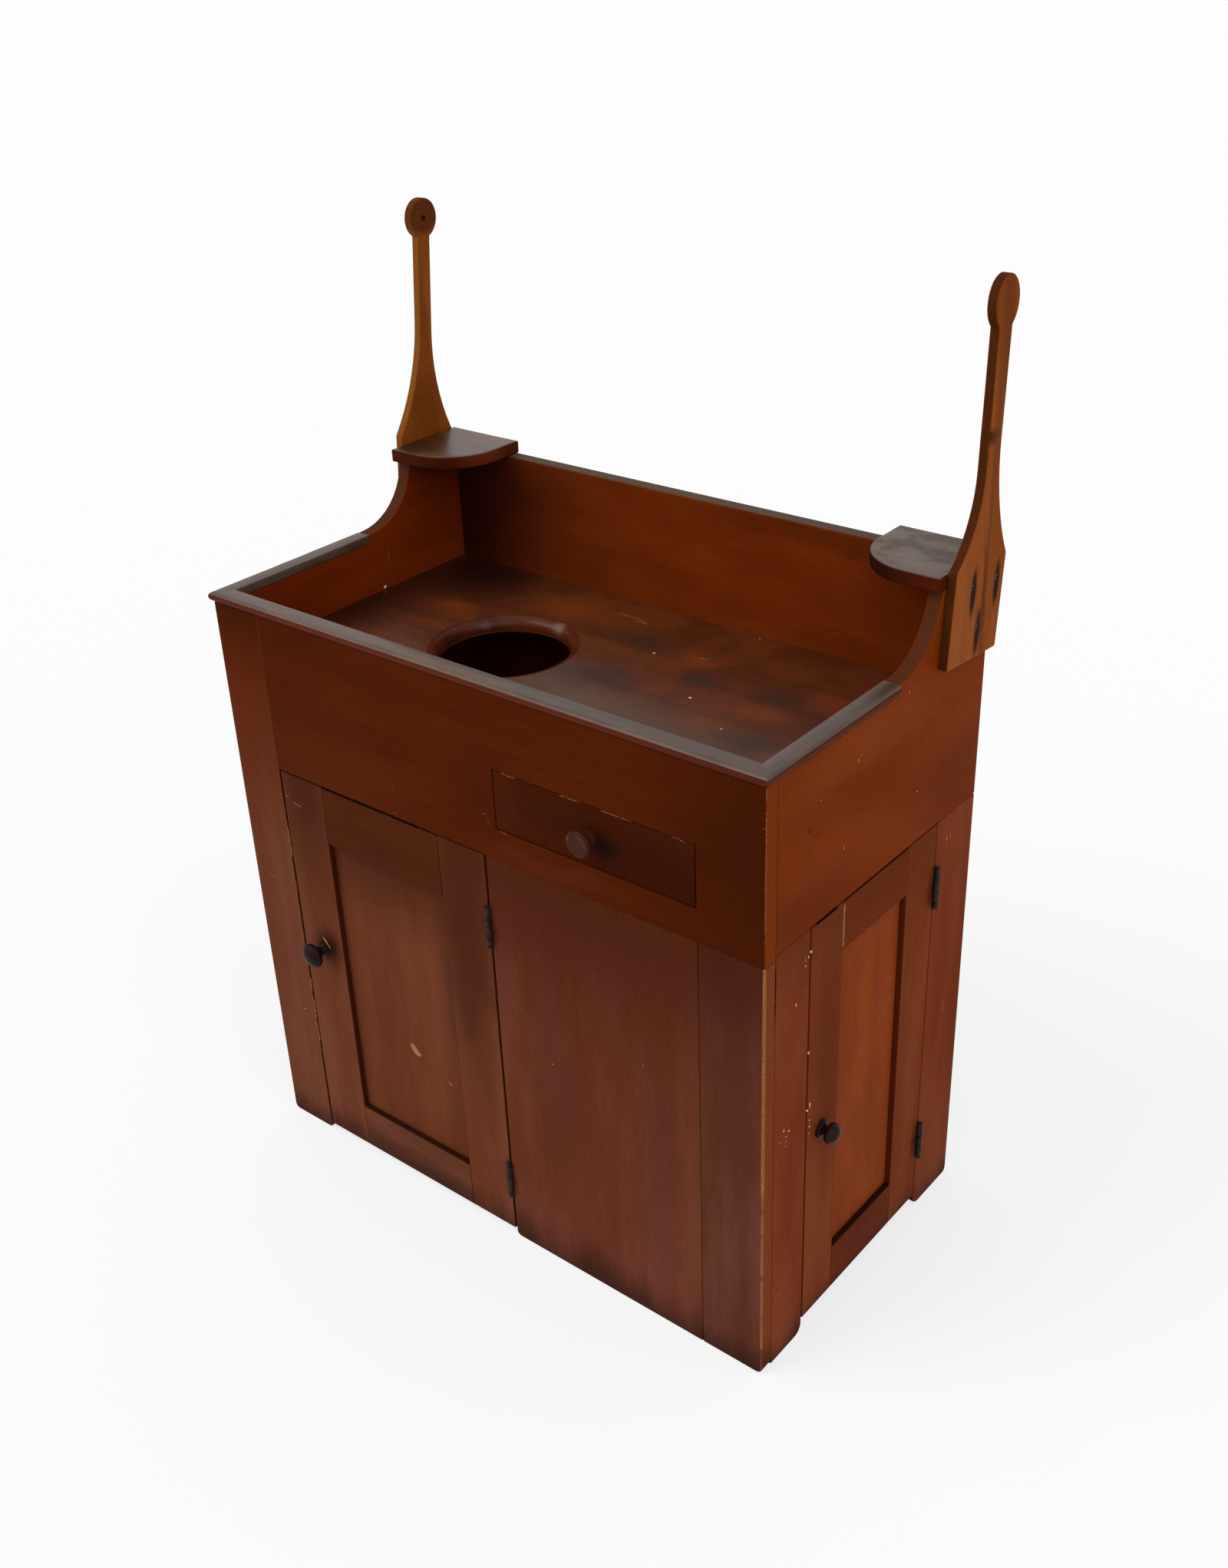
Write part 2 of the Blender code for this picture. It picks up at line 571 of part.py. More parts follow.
def make_inside():
    """Bottom board, divider between the cupboards and the two drawer runners."""
    front = INNER_FRONT + STOP_GAP
    rear = INNER_BACK - FIT
    left = INNER_LEFT - DADO_DEPTH + FIT
    inner = INNER_RIGHT - STOP_GAP
    tab = INNER_RIGHT + DADO_DEPTH - FIT
    outline = [(left, front), (tab, front), (tab, FRONT + SIDE_FRONT_STILE_END - STOP_GAP),
               (inner, FRONT + SIDE_FRONT_STILE_END - STOP_GAP),
               (inner, FRONT + SIDE_REAR_STILE_START + STOP_GAP),
               (tab, FRONT + SIDE_REAR_STILE_START + STOP_GAP), (tab, rear), (left, rear)]
    sawn("bottom_board", [outline], "z", BOTTOM_BOARD_BOTTOM, BOTTOM_BOARD_TOP, raw_wood,
         rounding=FIT)
    divider_left = OPENING_LEFT - DIVIDER_THICKNESS
    board("divider", (divider_left, INNER_FRONT + FIT, BOTTOM_BOARD_TOP + FIT),
          (OPENING_LEFT, rear, WELL_FLOOR_BOTTOM - FIT), raw_wood, rounding=HIDDEN_EDGE_ROUND)
    top = DRAWER_BASE - FIT
    base = top - RUNNER_THICKNESS
    board("drawer_runner_left", (OPENING_LEFT + FIT, INNER_FRONT + FIT, base),
          (OPENING_LEFT + RUNNER_WIDTH, rear, top), raw_wood, rounding=HIDDEN_EDGE_ROUND)
    guide = DRAWER_RIGHT + DRAWER_GAP
    section = [(guide + GUIDE_WIDTH, base), (guide + GUIDE_WIDTH, top + GUIDE_HEIGHT), (guide, top + GUIDE_HEIGHT),
               (guide, top), (guide - RUNNER_WIDTH, top), (guide - RUNNER_WIDTH, base)]
    sawn("drawer_runner_right", [section], "y", INNER_FRONT + FIT, rear, raw_wood,
         rounding=HIDDEN_EDGE_ROUND)


def make_rim():
    """Mitred strips with rounded noses that cap the tray's front and sides."""
    low = RIM_HEIGHT - RIM_THICKNESS
    outer_left, outer_right = LEFT - RIM_OVERHANG, RIGHT + RIM_OVERHANG
    inner_left, inner_right = outer_left + RIM_SIDE_WIDTH, outer_right - RIM_SIDE_WIDTH
    outer_front = FRONT - RIM_OVERHANG
    inner_front = outer_front + RIM_FRONT_WIDTH
    rear = FRONT + RIM_END - FIT
    mitre_gap = FIT * math.sqrt(2)
    strips = {
        "rim_front": [(outer_left, outer_front), (outer_right, outer_front),
                      (inner_right, inner_front), (inner_left, inner_front)],
        "rim_left": [(outer_left, outer_front + mitre_gap), (inner_left, inner_front + mitre_gap),
                     (inner_left, rear), (outer_left, rear)],
        "rim_right": [(outer_right, outer_front + mitre_gap), (outer_right, rear),
                      (inner_right, rear), (inner_right, inner_front + mitre_gap)],
    }
    for name, outline in strips.items():
        sawn(name, [outline], "z", low, RIM_HEIGHT, rim_wood)


def make_shelves():
    """Corner shelves on the side boards and backboard, each with one rounded corner."""
    rear, front = BACK, BACK - SHELF_DEPTH
    radius = SHELF_CORNER_RADIUS
    inner = LEFT + SHELF_WIDTH
    left = [(LEFT, rear), (LEFT, front)]
    left += arc((inner - radius, front + radius), radius, -math.pi / 2, 0)
    left += [(inner, rear)]
    right = [(LEFT + RIGHT - x, y) for x, y in reversed(left)]
    for name, outline in (("shelf_left", left), ("shelf_right", right)):
        sawn(name, [outline], "z", SHELF_HEIGHT - SHELF_THICKNESS, SHELF_HEIGHT, rim_wood)


def screw_profile():
    """Countersunk wood screw: flat head at height zero, shank and pointed tip below."""
    shank_end = -SCREW_LENGTH + SCREW_TIP
    return [(0, 0), (SCREW_HEAD_RADIUS, 0), (SCREW_SHANK_RADIUS, -SCREW_HEAD_DEPTH),
            (SCREW_SHANK_RADIUS, shank_end), (0, -SCREW_LENGTH)]


def make_arms(side_boards):
    """Two towel arms outside the case, each held by three wood screws into its side board."""
    for side, outward in (("left", -1), ("right", 1)):
        arm = ARMS[side]
        foot = (BACK - arm["from_back"], RIM_HEIGHT - arm["foot_below_rim"])
        inner = {"left": LEFT, "right": RIGHT}[side] + outward * FIT
        outer = inner + outward * ARM_THICKNESS
        outline = [(foot[0] + u, foot[1] + v) for u, v in arm_outline(arm)]
        piece = sawn("towel_arm_" + side, [outline], "x", min(inner, outer), max(inner, outer), arm_wood)
        point_out = (0, outward * math.pi / 2, 0)
        disc = turn([(arm["neck_offset"], arm["disc_from_foot"])], arm["neck_lean"])[0]
        socket_at = (inner, foot[0] + disc[0], foot[1] + disc[1])
        cut(piece, round_cutter("rod socket " + side, ROD_SOCKET_RADIUS, -OVERRUN, ROD_SOCKET_DEPTH,
                                location=socket_at, rotation=point_out, steps=SCREW_STEPS))
        head_at = outer - outward * SCREW_SUNK
        for number, offset in enumerate(ARM_SCREW_PLACES, 1):
            across, up = turn([offset], arm["plate_lean"])[0]
            make_arm_screw("arm_screw_%s_%d" % (side, number), (head_at, foot[0] + across, foot[1] + up),
                           point_out, (piece, side_boards[side]))


def make_arm_screw(name, at, point_out, boards):
    """One screw with its slot, and its countersunk hole through the arm into the side board."""
    wide, thin = SCREW_HEAD_RADIUS + BORE_CLEARANCE, SCREW_SHANK_RADIUS + BORE_CLEARANCE
    sink = SCREW_HEAD_DEPTH * BORE_CLEARANCE / (SCREW_HEAD_RADIUS - SCREW_SHANK_RADIUS)
    end = -SCREW_LENGTH - BORE_CLEARANCE
    hole = [(0, SCREW_SUNK + OVERRUN), (wide, SCREW_SUNK + OVERRUN), (wide, sink),
            (thin, sink - SCREW_HEAD_DEPTH), (thin, end), (0, end)]
    tool = cutter(turned("bore " + name, hole, None, None, at, point_out, SCREW_STEPS))
    for wood_piece in boards:
        cut(wood_piece, tool)
    screw = turned(name, screw_profile(), screw_iron, None, at, point_out, SCREW_STEPS)
    low = (-SCREW_SLOT_WIDTH / 2, -SCREW_HEAD_RADIUS - OVERRUN, -SCREW_SLOT_DEPTH)
    high = (SCREW_SLOT_WIDTH / 2, SCREW_HEAD_RADIUS + OVERRUN, OVERRUN)
    cut(screw, box_cutter("slot " + name, low, high, screw))


def grooved_section(outer, inner, face, thickness, groove_front):
    """Section of a door's stile or rail: a board whose inner edge has the panel's groove."""
    into = math.copysign(GROOVE_DEPTH, outer - inner)
    groove_back = groove_front + GROOVE_WIDTH
    back = face + thickness
    return [(outer, face), (outer, back), (inner, back), (inner, groove_back), (inner + into, groove_back),
            (inner + into, groove_front), (inner, groove_front), (inner, face)]


def make_hinge(name, case_frame, door_frame, height):
    """Butt hinge on the Z axis of its frames: leaf on the case, leaf on the door and riveted pin."""
    low, high = height - HINGE_LENGTH / 2, height + HINGE_LENGTH / 2
    third = HINGE_LENGTH / 3
    gap = HINGE_KNUCKLE_GAP / 2
    near = HINGE_LEAF_GAP / 2
    far = near + HINGE_LEAF_THICKNESS
    reach = DOOR_HINGE_PROUD + HINGE_LEAF_REACH
    start = math.pi / 2 - math.asin(near / HINGE_BARREL_RADIUS)
    end = math.pi / 2 - math.asin(far / HINGE_BARREL_RADIUS) + math.tau
    barrel = ellipse((0, 0), (HINGE_BARREL_RADIUS,) * 2, end, start, HINGE_STEPS)
    bore_radius = HINGE_PIN_RADIUS + HINGE_PIN_CLEARANCE
    bore = ellipse((0, 0), (bore_radius,) * 2, 0, math.tau * (1 - 1 / HINGE_STEPS), HINGE_STEPS - 1)
    leaf = barrel + [(near, reach), (far, reach)]
    middle = (low + third - gap, high - third + gap)
    ends = ((low - OVERRUN, low + third + gap), (high - third - gap, high + OVERRUN))
    for owner, frame, mirror, spans in (("case", case_frame, 1, (middle,)), ("door", door_frame, -1, ends)):
        outline = [(mirror * x, y) for x, y in leaf]
        plate = sawn("%s_%s_leaf" % (name, owner), [outline, bore], "z", low, high, hinge_iron,
                     frame, rounding=0)
        for number, (bottom, top) in enumerate(spans, 1):
            tool = round_cutter("%s knuckle %s %d" % (name, owner, number), HINGE_BARREL_RADIUS + FIT,
                                bottom, top, frame, steps=HINGE_STEPS)
            cut(plate, tool)
    head = HINGE_PIN_HEAD + FIT
    pin = [(0, high + head), (HINGE_PIN_HEAD_RADIUS / 2, high + head), (HINGE_PIN_HEAD_RADIUS, high + FIT),
           (HINGE_PIN_RADIUS, high + FIT), (HINGE_PIN_RADIUS, low - FIT), (HINGE_PIN_HEAD_RADIUS, low - FIT),
           (HINGE_PIN_HEAD_RADIUS / 2, low - head), (0, low - head)]
    turned(name + "_pin", pin, hinge_iron, case_frame, steps=HINGE_STEPS)


def cut_hinge_mortise(obj, name, frame, height, owner):
    """Shallow seat for a hinge leaf in the edge of a door or of the board beside it."""
    mirror = {"case": 1, "door": -1}[owner]
    depth = mirror * (HINGE_LEAF_GAP / 2 + HINGE_LEAF_THICKNESS + FIT)
    low, high = sorted((0.0, depth))
    half = HINGE_LENGTH / 2 + FIT
    tool = box_cutter("mortise %s %s" % (name, owner), (low, 0, height - half),
                      (high, DOOR_HINGE_PROUD + HINGE_LEAF_REACH + FIT, height + half), frame)
    cut(obj, tool)


def knob_profile(size, spindle):
    """Turned knob: face, bead round its edge, hollow neck, foot against the wood and spindle behind."""
    bead = size["bead"]
    rim = size["head_radius"] - bead
    face = size["face_at"]
    profile = []
    for step in range(KNOB_FACE_STEPS):
        share = step / KNOB_FACE_STEPS
        profile.append((rim * share, face + size["face_rise"] * (1 - share ** 2)))
    profile += ellipse((rim, face - bead), (bead, bead), math.pi / 2, -math.pi / 2, KNOB_BEAD_STEPS)
    under = face - 2 * bead
    drop = under - size["neck_at"]
    hollow = rim - size["neck_radius"]
    profile += ellipse((rim, size["neck_at"]), (-hollow, drop), math.pi / 2, 0, KNOB_NECK_STEPS)[1:]
    profile += [(size["foot_radius"], size["foot"]), (size["foot_radius"], FIT), (SPINDLE_RADIUS, FIT)]
    return profile + [(SPINDLE_RADIUS, -spindle), (0, -spindle)]


def make_knob(name, size, spindle, material, parent, at):
    """Knob on a face that looks along -Y of its parent's frame."""
    return turned(name, knob_profile(size, spindle), material, parent, at, (math.pi / 2, 0, 0))


def make_door(name, door, case_frame, door_frame, beside, material):
    """Frame-and-panel door in its hinge's frame: hinge axis on Z, door towards -X, face at +Y of it."""
    face = DOOR_HINGE_PROUD
    thickness = door["thickness"]
    bottom, top = door["bottom"], door["top"]
    hinge_edge = -HINGE_GAP / 2
    latch_edge = hinge_edge - door["width"]
    hinge_inner = hinge_edge - door["stile"]
    latch_inner = latch_edge + door["stile"]
    groove = face + door["recess"] - FIT

    def stile(part, outer, inner):
        section = grooved_section(outer, inner, face, thickness, groove)
        return sawn("%s_%s_stile" % (name, part), [section], "z", bottom, top, material, door_frame,
                    HIDDEN_EDGE_ROUND)

    hinge_stile = stile("hinge", hinge_edge, hinge_inner)
    latch_stile = stile("latch", latch_edge, latch_inner)

    tongue = GROOVE_DEPTH - FIT
    left, right = latch_inner + FIT, hinge_inner - FIT
    tongue_front, tongue_back = groove + FIT, groove + GROOVE_WIDTH - FIT
    shoulders = []
    for end, span in (("latch", (left - tongue - OVERRUN, left)), ("hinge", (right, right + tongue + OVERRUN))):
        for layer, depths in (("front", (face - OVERRUN, tongue_front)),
                              ("rear", (tongue_back, face + thickness + OVERRUN))):
            shoulders.append(box_cutter("%s %s %s shoulder" % (name, end, layer),
                                        (span[0], depths[0], bottom - OVERRUN),
                                        (span[1], depths[1], top + OVERRUN), door_frame))
    panel_low = bottom + door["bottom_rail"]
    panel_high = top - door["top_rail"]
    for part, outer, inner in (("bottom", bottom, panel_low), ("top", top, panel_high)):
        section = [(y, z) for z, y in grooved_section(outer, inner, face, thickness, groove)]
        rail = sawn("%s_%s_rail" % (name, part), [section], "x", left - tongue, right + tongue, material,
                    door_frame, HIDDEN_EDGE_ROUND)
        for tool in shoulders:
            cut(rail, tool)

    inset = GROOVE_DEPTH - PANEL_PLAY
    board(name + "_panel", (left - inset, tongue_front, panel_low - inset),
          (right + inset, tongue_back, panel_high + inset), door["panel_wood"], door_frame,
          rounding=HIDDEN_EDGE_ROUND)

    for place_name, height in door["hinges"].items():
        hinge = "%s_%s_hinge" % (name, place_name)
        make_hinge(hinge, case_frame, door_frame, height)
        cut_hinge_mortise(hinge_stile, hinge, door_frame, height, "door")
        cut_hinge_mortise(beside, hinge, case_frame, height, "case")

    make_latch(name, door, door_frame, latch_stile, latch_edge)


def make_latch(name, door, door_frame, latch_stile, latch_edge):
    """Turning knob whose spindle runs through the stile to a wooden button behind it."""
    face = DOOR_HINGE_PROUD
    axis_x = latch_edge + door["knob_from_edge"]
    knob_frame = bpy.data.objects.new(name + " knob axis", None)
    place(knob_frame, parts, parent=door_frame, location=(axis_x, face, door["knob_height"]))
    button_front = door["thickness"] + STOP_GAP
    button_back = button_front + BUTTON_THICKNESS
    spindle = button_back + SPINDLE_END
    make_knob(name + "_knob", door["knob"], spindle, knob_wood, knob_frame, (0, 0, 0))
    along_y = (math.pi / 2, 0, 0)
    bore_radius = SPINDLE_RADIUS + BORE_CLEARANCE
    cut(latch_stile, round_cutter(name + " spindle bore", bore_radius, -door["thickness"] - OVERRUN, OVERRUN,
                                  knob_frame, rotation=along_y))
    reach = door["knob_from_edge"] + DOOR_GAP + BUTTON_CATCH
    half = BUTTON_WIDTH / 2
    outline = [(-half, BUTTON_TAIL), (-half, half - reach)]
    outline += arc((0, half - reach), half, math.pi, math.tau)[1:]
    outline += [(half, BUTTON_TAIL)]
    bore = ellipse((0, 0), (bore_radius,) * 2, 0, math.tau * (1 - 1 / TURN_STEPS), TURN_STEPS - 1)
    sawn(name + "_turn_button", [outline, bore], "y", button_front, button_back, raw_wood, knob_frame,
         rounding=HIDDEN_EDGE_ROUND)


def make_drawer():
    """Drawer in the apron: flush front, grooved sides, back, sliding bottom and turned knob."""
    centre_x = (DRAWER_LEFT + DRAWER_RIGHT) / 2
    top = OPENING_TOP - DRAWER_GAP
    frame = pivot("drawer slide", (centre_x, FRONT, DRAWER_BASE))
    half = (DRAWER_RIGHT - DRAWER_LEFT) / 2
    height = top - DRAWER_BASE
    groove_low, groove_high = DRAWER_GROOVE_HEIGHT, DRAWER_GROOVE_HEIGHT + DRAWER_BOTTOM_THICKNESS + 2 * FIT
    front = board("drawer_front", (-half, 0, 0), (half, FRONT_THICKNESS, height), drawer_wood, frame)
    inner = half - DRAWER_SIDE_THICKNESS
    bottom_half = inner + DRAWER_GROOVE_DEPTH - FIT
    cut(front, box_cutter("drawer front groove",
                          (-bottom_half - FIT, FRONT_THICKNESS - DRAWER_GROOVE_DEPTH, groove_low),
                          (bottom_half + FIT, FRONT_THICKNESS + OVERRUN, groove_high), frame))
    cut(front, round_cutter("drawer spindle bore", SPINDLE_RADIUS + BORE_CLEARANCE,
                            -FRONT_THICKNESS - OVERRUN, OVERRUN, frame, (0, 0, height / 2),
                            (math.pi / 2, 0, 0)))
    start = FRONT_THICKNESS + FIT
    groove = inner + DRAWER_GROOVE_DEPTH
    section = [(inner, 0), (half, 0), (half, DRAWER_SIDE_HEIGHT), (inner, DRAWER_SIDE_HEIGHT),
               (inner, groove_high), (groove, groove_high), (groove, groove_low), (inner, groove_low)]
    for side, mirror in (("left", -1), ("right", 1)):
        outline = [(mirror * x, z) for x, z in section]
        sawn("drawer_side_" + side, [outline], "y", start, DRAWER_LENGTH, raw_wood, frame,
             rounding=HIDDEN_EDGE_ROUND)
    board("drawer_back", (-inner + FIT, DRAWER_LENGTH - DRAWER_SIDE_THICKNESS, groove_high),
          (inner - FIT, DRAWER_LENGTH, DRAWER_SIDE_HEIGHT), raw_wood, frame, HIDDEN_EDGE_ROUND)
    board("drawer_bottom", (-bottom_half, FRONT_THICKNESS - DRAWER_GROOVE_DEPTH + FIT, groove_low + FIT),
          (bottom_half, DRAWER_LENGTH, groove_high - FIT), raw_wood, frame, FIT)
    make_knob("drawer_knob", KNOBS["drawer"], FRONT_THICKNESS, drawer_knob_wood, frame, (0, 0, height / 2))


def smooth_round_pieces():
    """Smooth shading over the turned pieces and curved edges, sharp at real corners."""
    for obj in parts.objects:
        if obj.type == "MESH":
            obj.data.shade_smooth()
            obj.data.set_sharp_from_angle(angle=math.radians(35))


clear_scene()
parts = collection("washstand")
cutters = collection("cutters")

case_wood = wood("stained pine front", (0.110, 0.024, 0.007))
side_wood = wood("stained pine side", (0.185, 0.047, 0.012))
door_wood = wood("stained pine doors", (0.145, 0.038, 0.017))
well_wood = wood("stained pine well", (0.130, 0.030, 0.006))
floor_wood = wood("darkened tray floor", (0.070, 0.022, 0.012), 0.35)
drawer_wood = wood("stained pine drawer", (0.085, 0.018, 0.006))
rim_wood = wood("worn rim and shelves", (0.125, 0.075, 0.058), 0.35)
arm_wood = wood("honey pine arms", (0.290, 0.110, 0.022))
raw_wood = wood("unfinished pine", (0.420, 0.250, 0.120), 0.75)
knob_wood = wood("blackened knobs", (0.020, 0.014, 0.012), 0.35)
drawer_knob_wood = wood("red stained knob", (0.110, 0.028, 0.014), 0.35)
hinge_iron = finish("black iron", (0.018, 0.016, 0.016), 0.50, 0.8)
screw_iron = finish("rusted screw iron", (0.090, 0.070, 0.055), 0.60, 0.8)

make_front()
left_board, right_board, rear_stile = make_sides()
make_back()
make_well_floor()
make_inside()
make_rim()
make_shelves()
make_arms({"left": left_board, "right": right_board})

front_case_frame = pivot("front door hinge line", (FRONT_HINGE_X, FRONT - DOOR_HINGE_PROUD, 0))
front_door_frame = pivot("front door", (FRONT_HINGE_X, FRONT - DOOR_HINGE_PROUD, 0))
make_door("front_door", {
    "width": FRONT_DOOR_WIDTH, "bottom": FRONT_DOOR_BOTTOM, "top": FRONT_DOOR_TOP,
    "thickness": FRONT_THICKNESS, "stile": FRONT_DOOR_STILE, "top_rail": FRONT_DOOR_TOP_RAIL,
    "bottom_rail": FRONT_DOOR_BOTTOM_RAIL, "recess": FRONT_DOOR_RECESS, "panel_wood": door_wood,
    "hinges": FRONT_HINGE_HEIGHTS, "knob": KNOBS["front_door"],
    "knob_from_edge": FRONT_KNOB_FROM_EDGE, "knob_height": FRONT_KNOB_HEIGHT,
}, front_case_frame, front_door_frame, bpy.data.objects["front_panel"], door_wood)

side_turn = math.pi / 2
side_case_frame = pivot("side door hinge line", (RIGHT + DOOR_HINGE_PROUD, SIDE_HINGE_Y, 0), side_turn)
side_door_frame = pivot("side door", (RIGHT + DOOR_HINGE_PROUD, SIDE_HINGE_Y, 0), side_turn)
make_door("side_door", {
    "width": SIDE_DOOR_WIDTH, "bottom": SIDE_DOOR_BOTTOM, "top": SIDE_DOOR_TOP,
    "thickness": SIDE_THICKNESS, "stile": SIDE_DOOR_STILE, "top_rail": SIDE_DOOR_TOP_RAIL,
    "bottom_rail": SIDE_DOOR_BOTTOM_RAIL, "recess": SIDE_DOOR_RECESS, "panel_wood": side_wood,
    "hinges": SIDE_HINGE_HEIGHTS, "knob": KNOBS["side_door"],
    "knob_from_edge": SIDE_KNOB_FROM_EDGE, "knob_height": SIDE_KNOB_HEIGHT,
}, side_case_frame, side_door_frame, rear_stile, side_wood)

make_drawer()
smooth_round_pieces()
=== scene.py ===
"""Looks of a country washstand in stained pine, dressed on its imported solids.

Metres, +Z up, the front towards -Y and the side door towards +X.
"""
import math

import bmesh
import bpy
import numpy as np
from mathutils import Matrix, Vector


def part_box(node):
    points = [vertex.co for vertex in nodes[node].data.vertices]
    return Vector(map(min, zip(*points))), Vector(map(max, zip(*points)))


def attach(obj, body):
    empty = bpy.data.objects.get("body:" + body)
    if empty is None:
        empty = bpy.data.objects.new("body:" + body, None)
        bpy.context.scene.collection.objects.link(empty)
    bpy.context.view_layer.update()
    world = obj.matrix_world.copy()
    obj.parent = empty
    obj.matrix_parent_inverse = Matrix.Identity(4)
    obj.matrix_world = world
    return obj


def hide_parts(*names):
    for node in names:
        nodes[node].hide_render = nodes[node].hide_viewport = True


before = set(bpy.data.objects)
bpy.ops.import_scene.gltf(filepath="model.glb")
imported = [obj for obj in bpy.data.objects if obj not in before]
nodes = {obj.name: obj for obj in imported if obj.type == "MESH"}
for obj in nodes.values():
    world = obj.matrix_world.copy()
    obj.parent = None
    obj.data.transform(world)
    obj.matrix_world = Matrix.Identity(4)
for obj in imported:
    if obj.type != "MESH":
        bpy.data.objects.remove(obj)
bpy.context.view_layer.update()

# Planes of the case, read from its own boards
LEFT, FRONT = (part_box("front_left_stile")[0][axis] for axis in (0, 1))
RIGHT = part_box("front_right_stile")[1].x
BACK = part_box("left_side")[1].y
INNER_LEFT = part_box("left_side")[1].x
INNER_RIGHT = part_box("right_upper_side")[0].x
INNER_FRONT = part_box("front_apron")[1].y
INNER_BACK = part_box("backboard")[0].y
RIM_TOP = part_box("rim_front")[1].z
TRAY_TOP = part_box("well_floor")[1].z
SHELF_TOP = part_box("shelf_left")[1].z
ARM_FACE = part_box("towel_arm_right")[1].x
# Half depths: a soft area goes through any board, a crisp mark stays on its face
THROUGH, ON_FACE = 0.2, 0.004


def linear(hex_colour):
    """Linear RGBA of an sRGB hex colour."""
    channels = np.array([int(hex_colour[i:i + 2], 16) for i in (1, 3, 5)]) / 255
    curved = np.where(channels <= 0.04045, channels / 12.92, ((channels + 0.055) / 1.055) ** 2.4)
    return (*curved.tolist(), 1.0)


def placed(name, data):
    """A new object in the scene, at the origin."""
    obj = bpy.data.objects.new(name, data)
    bpy.context.scene.collection.objects.link(obj)
    return obj


def new_finish(name):
    """A new material, with its node tree and its main shader."""
    mat = bpy.data.materials.new(name)
    mat.use_nodes = True
    return mat, mat.node_tree, mat.node_tree.nodes["Principled BSDF"]


def add(tree, kind, settings=None, **links):
    """Adds a node, sets its properties, then gives each input a value or the socket that feeds it.

    An input is named by its name with underscores for spaces, or by in0, in1 and so on for its number.
    """
    made = tree.nodes.new("ShaderNode" + kind)
    for name, value in (settings or {}).items():
        setattr(made, name, value)
    for name, value in links.items():
        numbered = name.startswith("in") and name[2:].isdigit()
        socket = made.inputs[int(name[2:]) if numbered else name.replace("_", " ")]
        if isinstance(value, bpy.types.NodeSocket):
            tree.links.new(value, socket)
        else:
            socket.default_value = value
    return made


# Patterns in wood, read from object coordinates. The cells of their noises are given in millimetres

def scale_of(size):
    """A texture's scale, in cells to the metre, from the size of a cell in millimetres."""
    return 1000 / size


def grain_noise(tree, place, grain, long, wide, detail=3.0, seed=0.0):
    """Noise in cells drawn out along the grain, as long and wide as given."""
    scale = [scale_of(wide)] * 3
    scale["xyz".index(grain)] = scale_of(long)
    moved = add(tree, "Mapping", Vector=place, Scale=scale, Location=(seed, 1.7 * seed, 2.3 * seed))
    return add(tree, "TexNoise", Vector=moved.outputs[0], Scale=1.0, Detail=detail, Roughness=0.55).outputs[0]


def drifted(tree, place, size, reach):
    """The place moved by a noise's cells of a size, at most by reach, so that outlines there are ragged."""
    noise = add(tree, "TexNoise", Vector=place, Scale=scale_of(size), Detail=2.0)
    centred = add(tree, "VectorMath", {"operation": "SUBTRACT"}, in0=noise.outputs["Color"],
                  in1=(0.5, 0.5, 0.5))
    return add(tree, "VectorMath", {"operation": "MULTIPLY_ADD"}, in0=centred.outputs[0],
               in1=[2 * reach / 1000] * 3, in2=place).outputs[0]


def tinted(tree, colour, tone, value, low, high, share=1.0):
    """Colour with a tone laid over it, from none where value is at low to a share of it at high."""
    mask = add(tree, "MapRange", {"interpolation_type": "SMOOTHSTEP"}, Value=value, From_Min=low,
               From_Max=high, To_Max=share)
    return add(tree, "Mix", {"data_type": "RGBA"}, in0=mask.outputs[0], in6=colour, in7=tone).outputs[2]


def nearest_spot(tree, place, spots):
    """Least scaled distance to a set of ellipsoids, each a centre, its radii and its turn in degrees."""
    least = None
    for centre, radii, turn in spots:
        local = add(tree, "Mapping", {"vector_type": "TEXTURE"}, Vector=place, Location=centre, Scale=radii,
                    Rotation=[math.radians(angle) for angle in turn])
        reach = add(tree, "VectorMath", {"operation": "LENGTH"}, Vector=local.outputs[0]).outputs["Value"]
        least = reach if least is None else add(tree, "Math", {"operation": "MINIMUM"}, in0=least,
                                                in1=reach).outputs[0]
    return least


def along_edge(tree, place, centre, halves, share, patches):
    """Under 1 in a share of a box along an edge: distance out of the box, plus a noise's patches.

    The box's thin sides count from its middle, and its long side only over its last 6 mm.
    """
    fade = 0.006
    local = add(tree, "Mapping", {"vector_type": "TEXTURE"}, Vector=place, Location=centre, Scale=halves)
    size = add(tree, "VectorMath", {"operation": "ABSOLUTE"}, Vector=local.outputs[0])
    steep = [max(1.0, half / fade) for half in halves]
    past = add(tree, "VectorMath", {"operation": "MULTIPLY_ADD"}, in0=size.outputs[0], in1=steep,
               in2=[1 - factor for factor in steep])
    parts = add(tree, "SeparateXYZ", Vector=past.outputs[0]).outputs
    wide = add(tree, "Math", {"operation": "MAXIMUM"}, in0=parts[0], in1=parts[1])
    wide = add(tree, "Math", {"operation": "MAXIMUM"}, in0=wide.outputs[0], in1=parts[2])
    # The noise lies between about 0.3 and 0.7, so the share that shows is counted over that
    kept = add(tree, "MapRange", Value=patches, From_Min=0.28 + 0.40 * share, From_Max=0.42 + 0.40 * share,
               To_Max=2.0)
    return add(tree, "Math", {"operation": "ADD"}, in0=wide.outputs[0], in1=kept.outputs[0]).outputs[0]


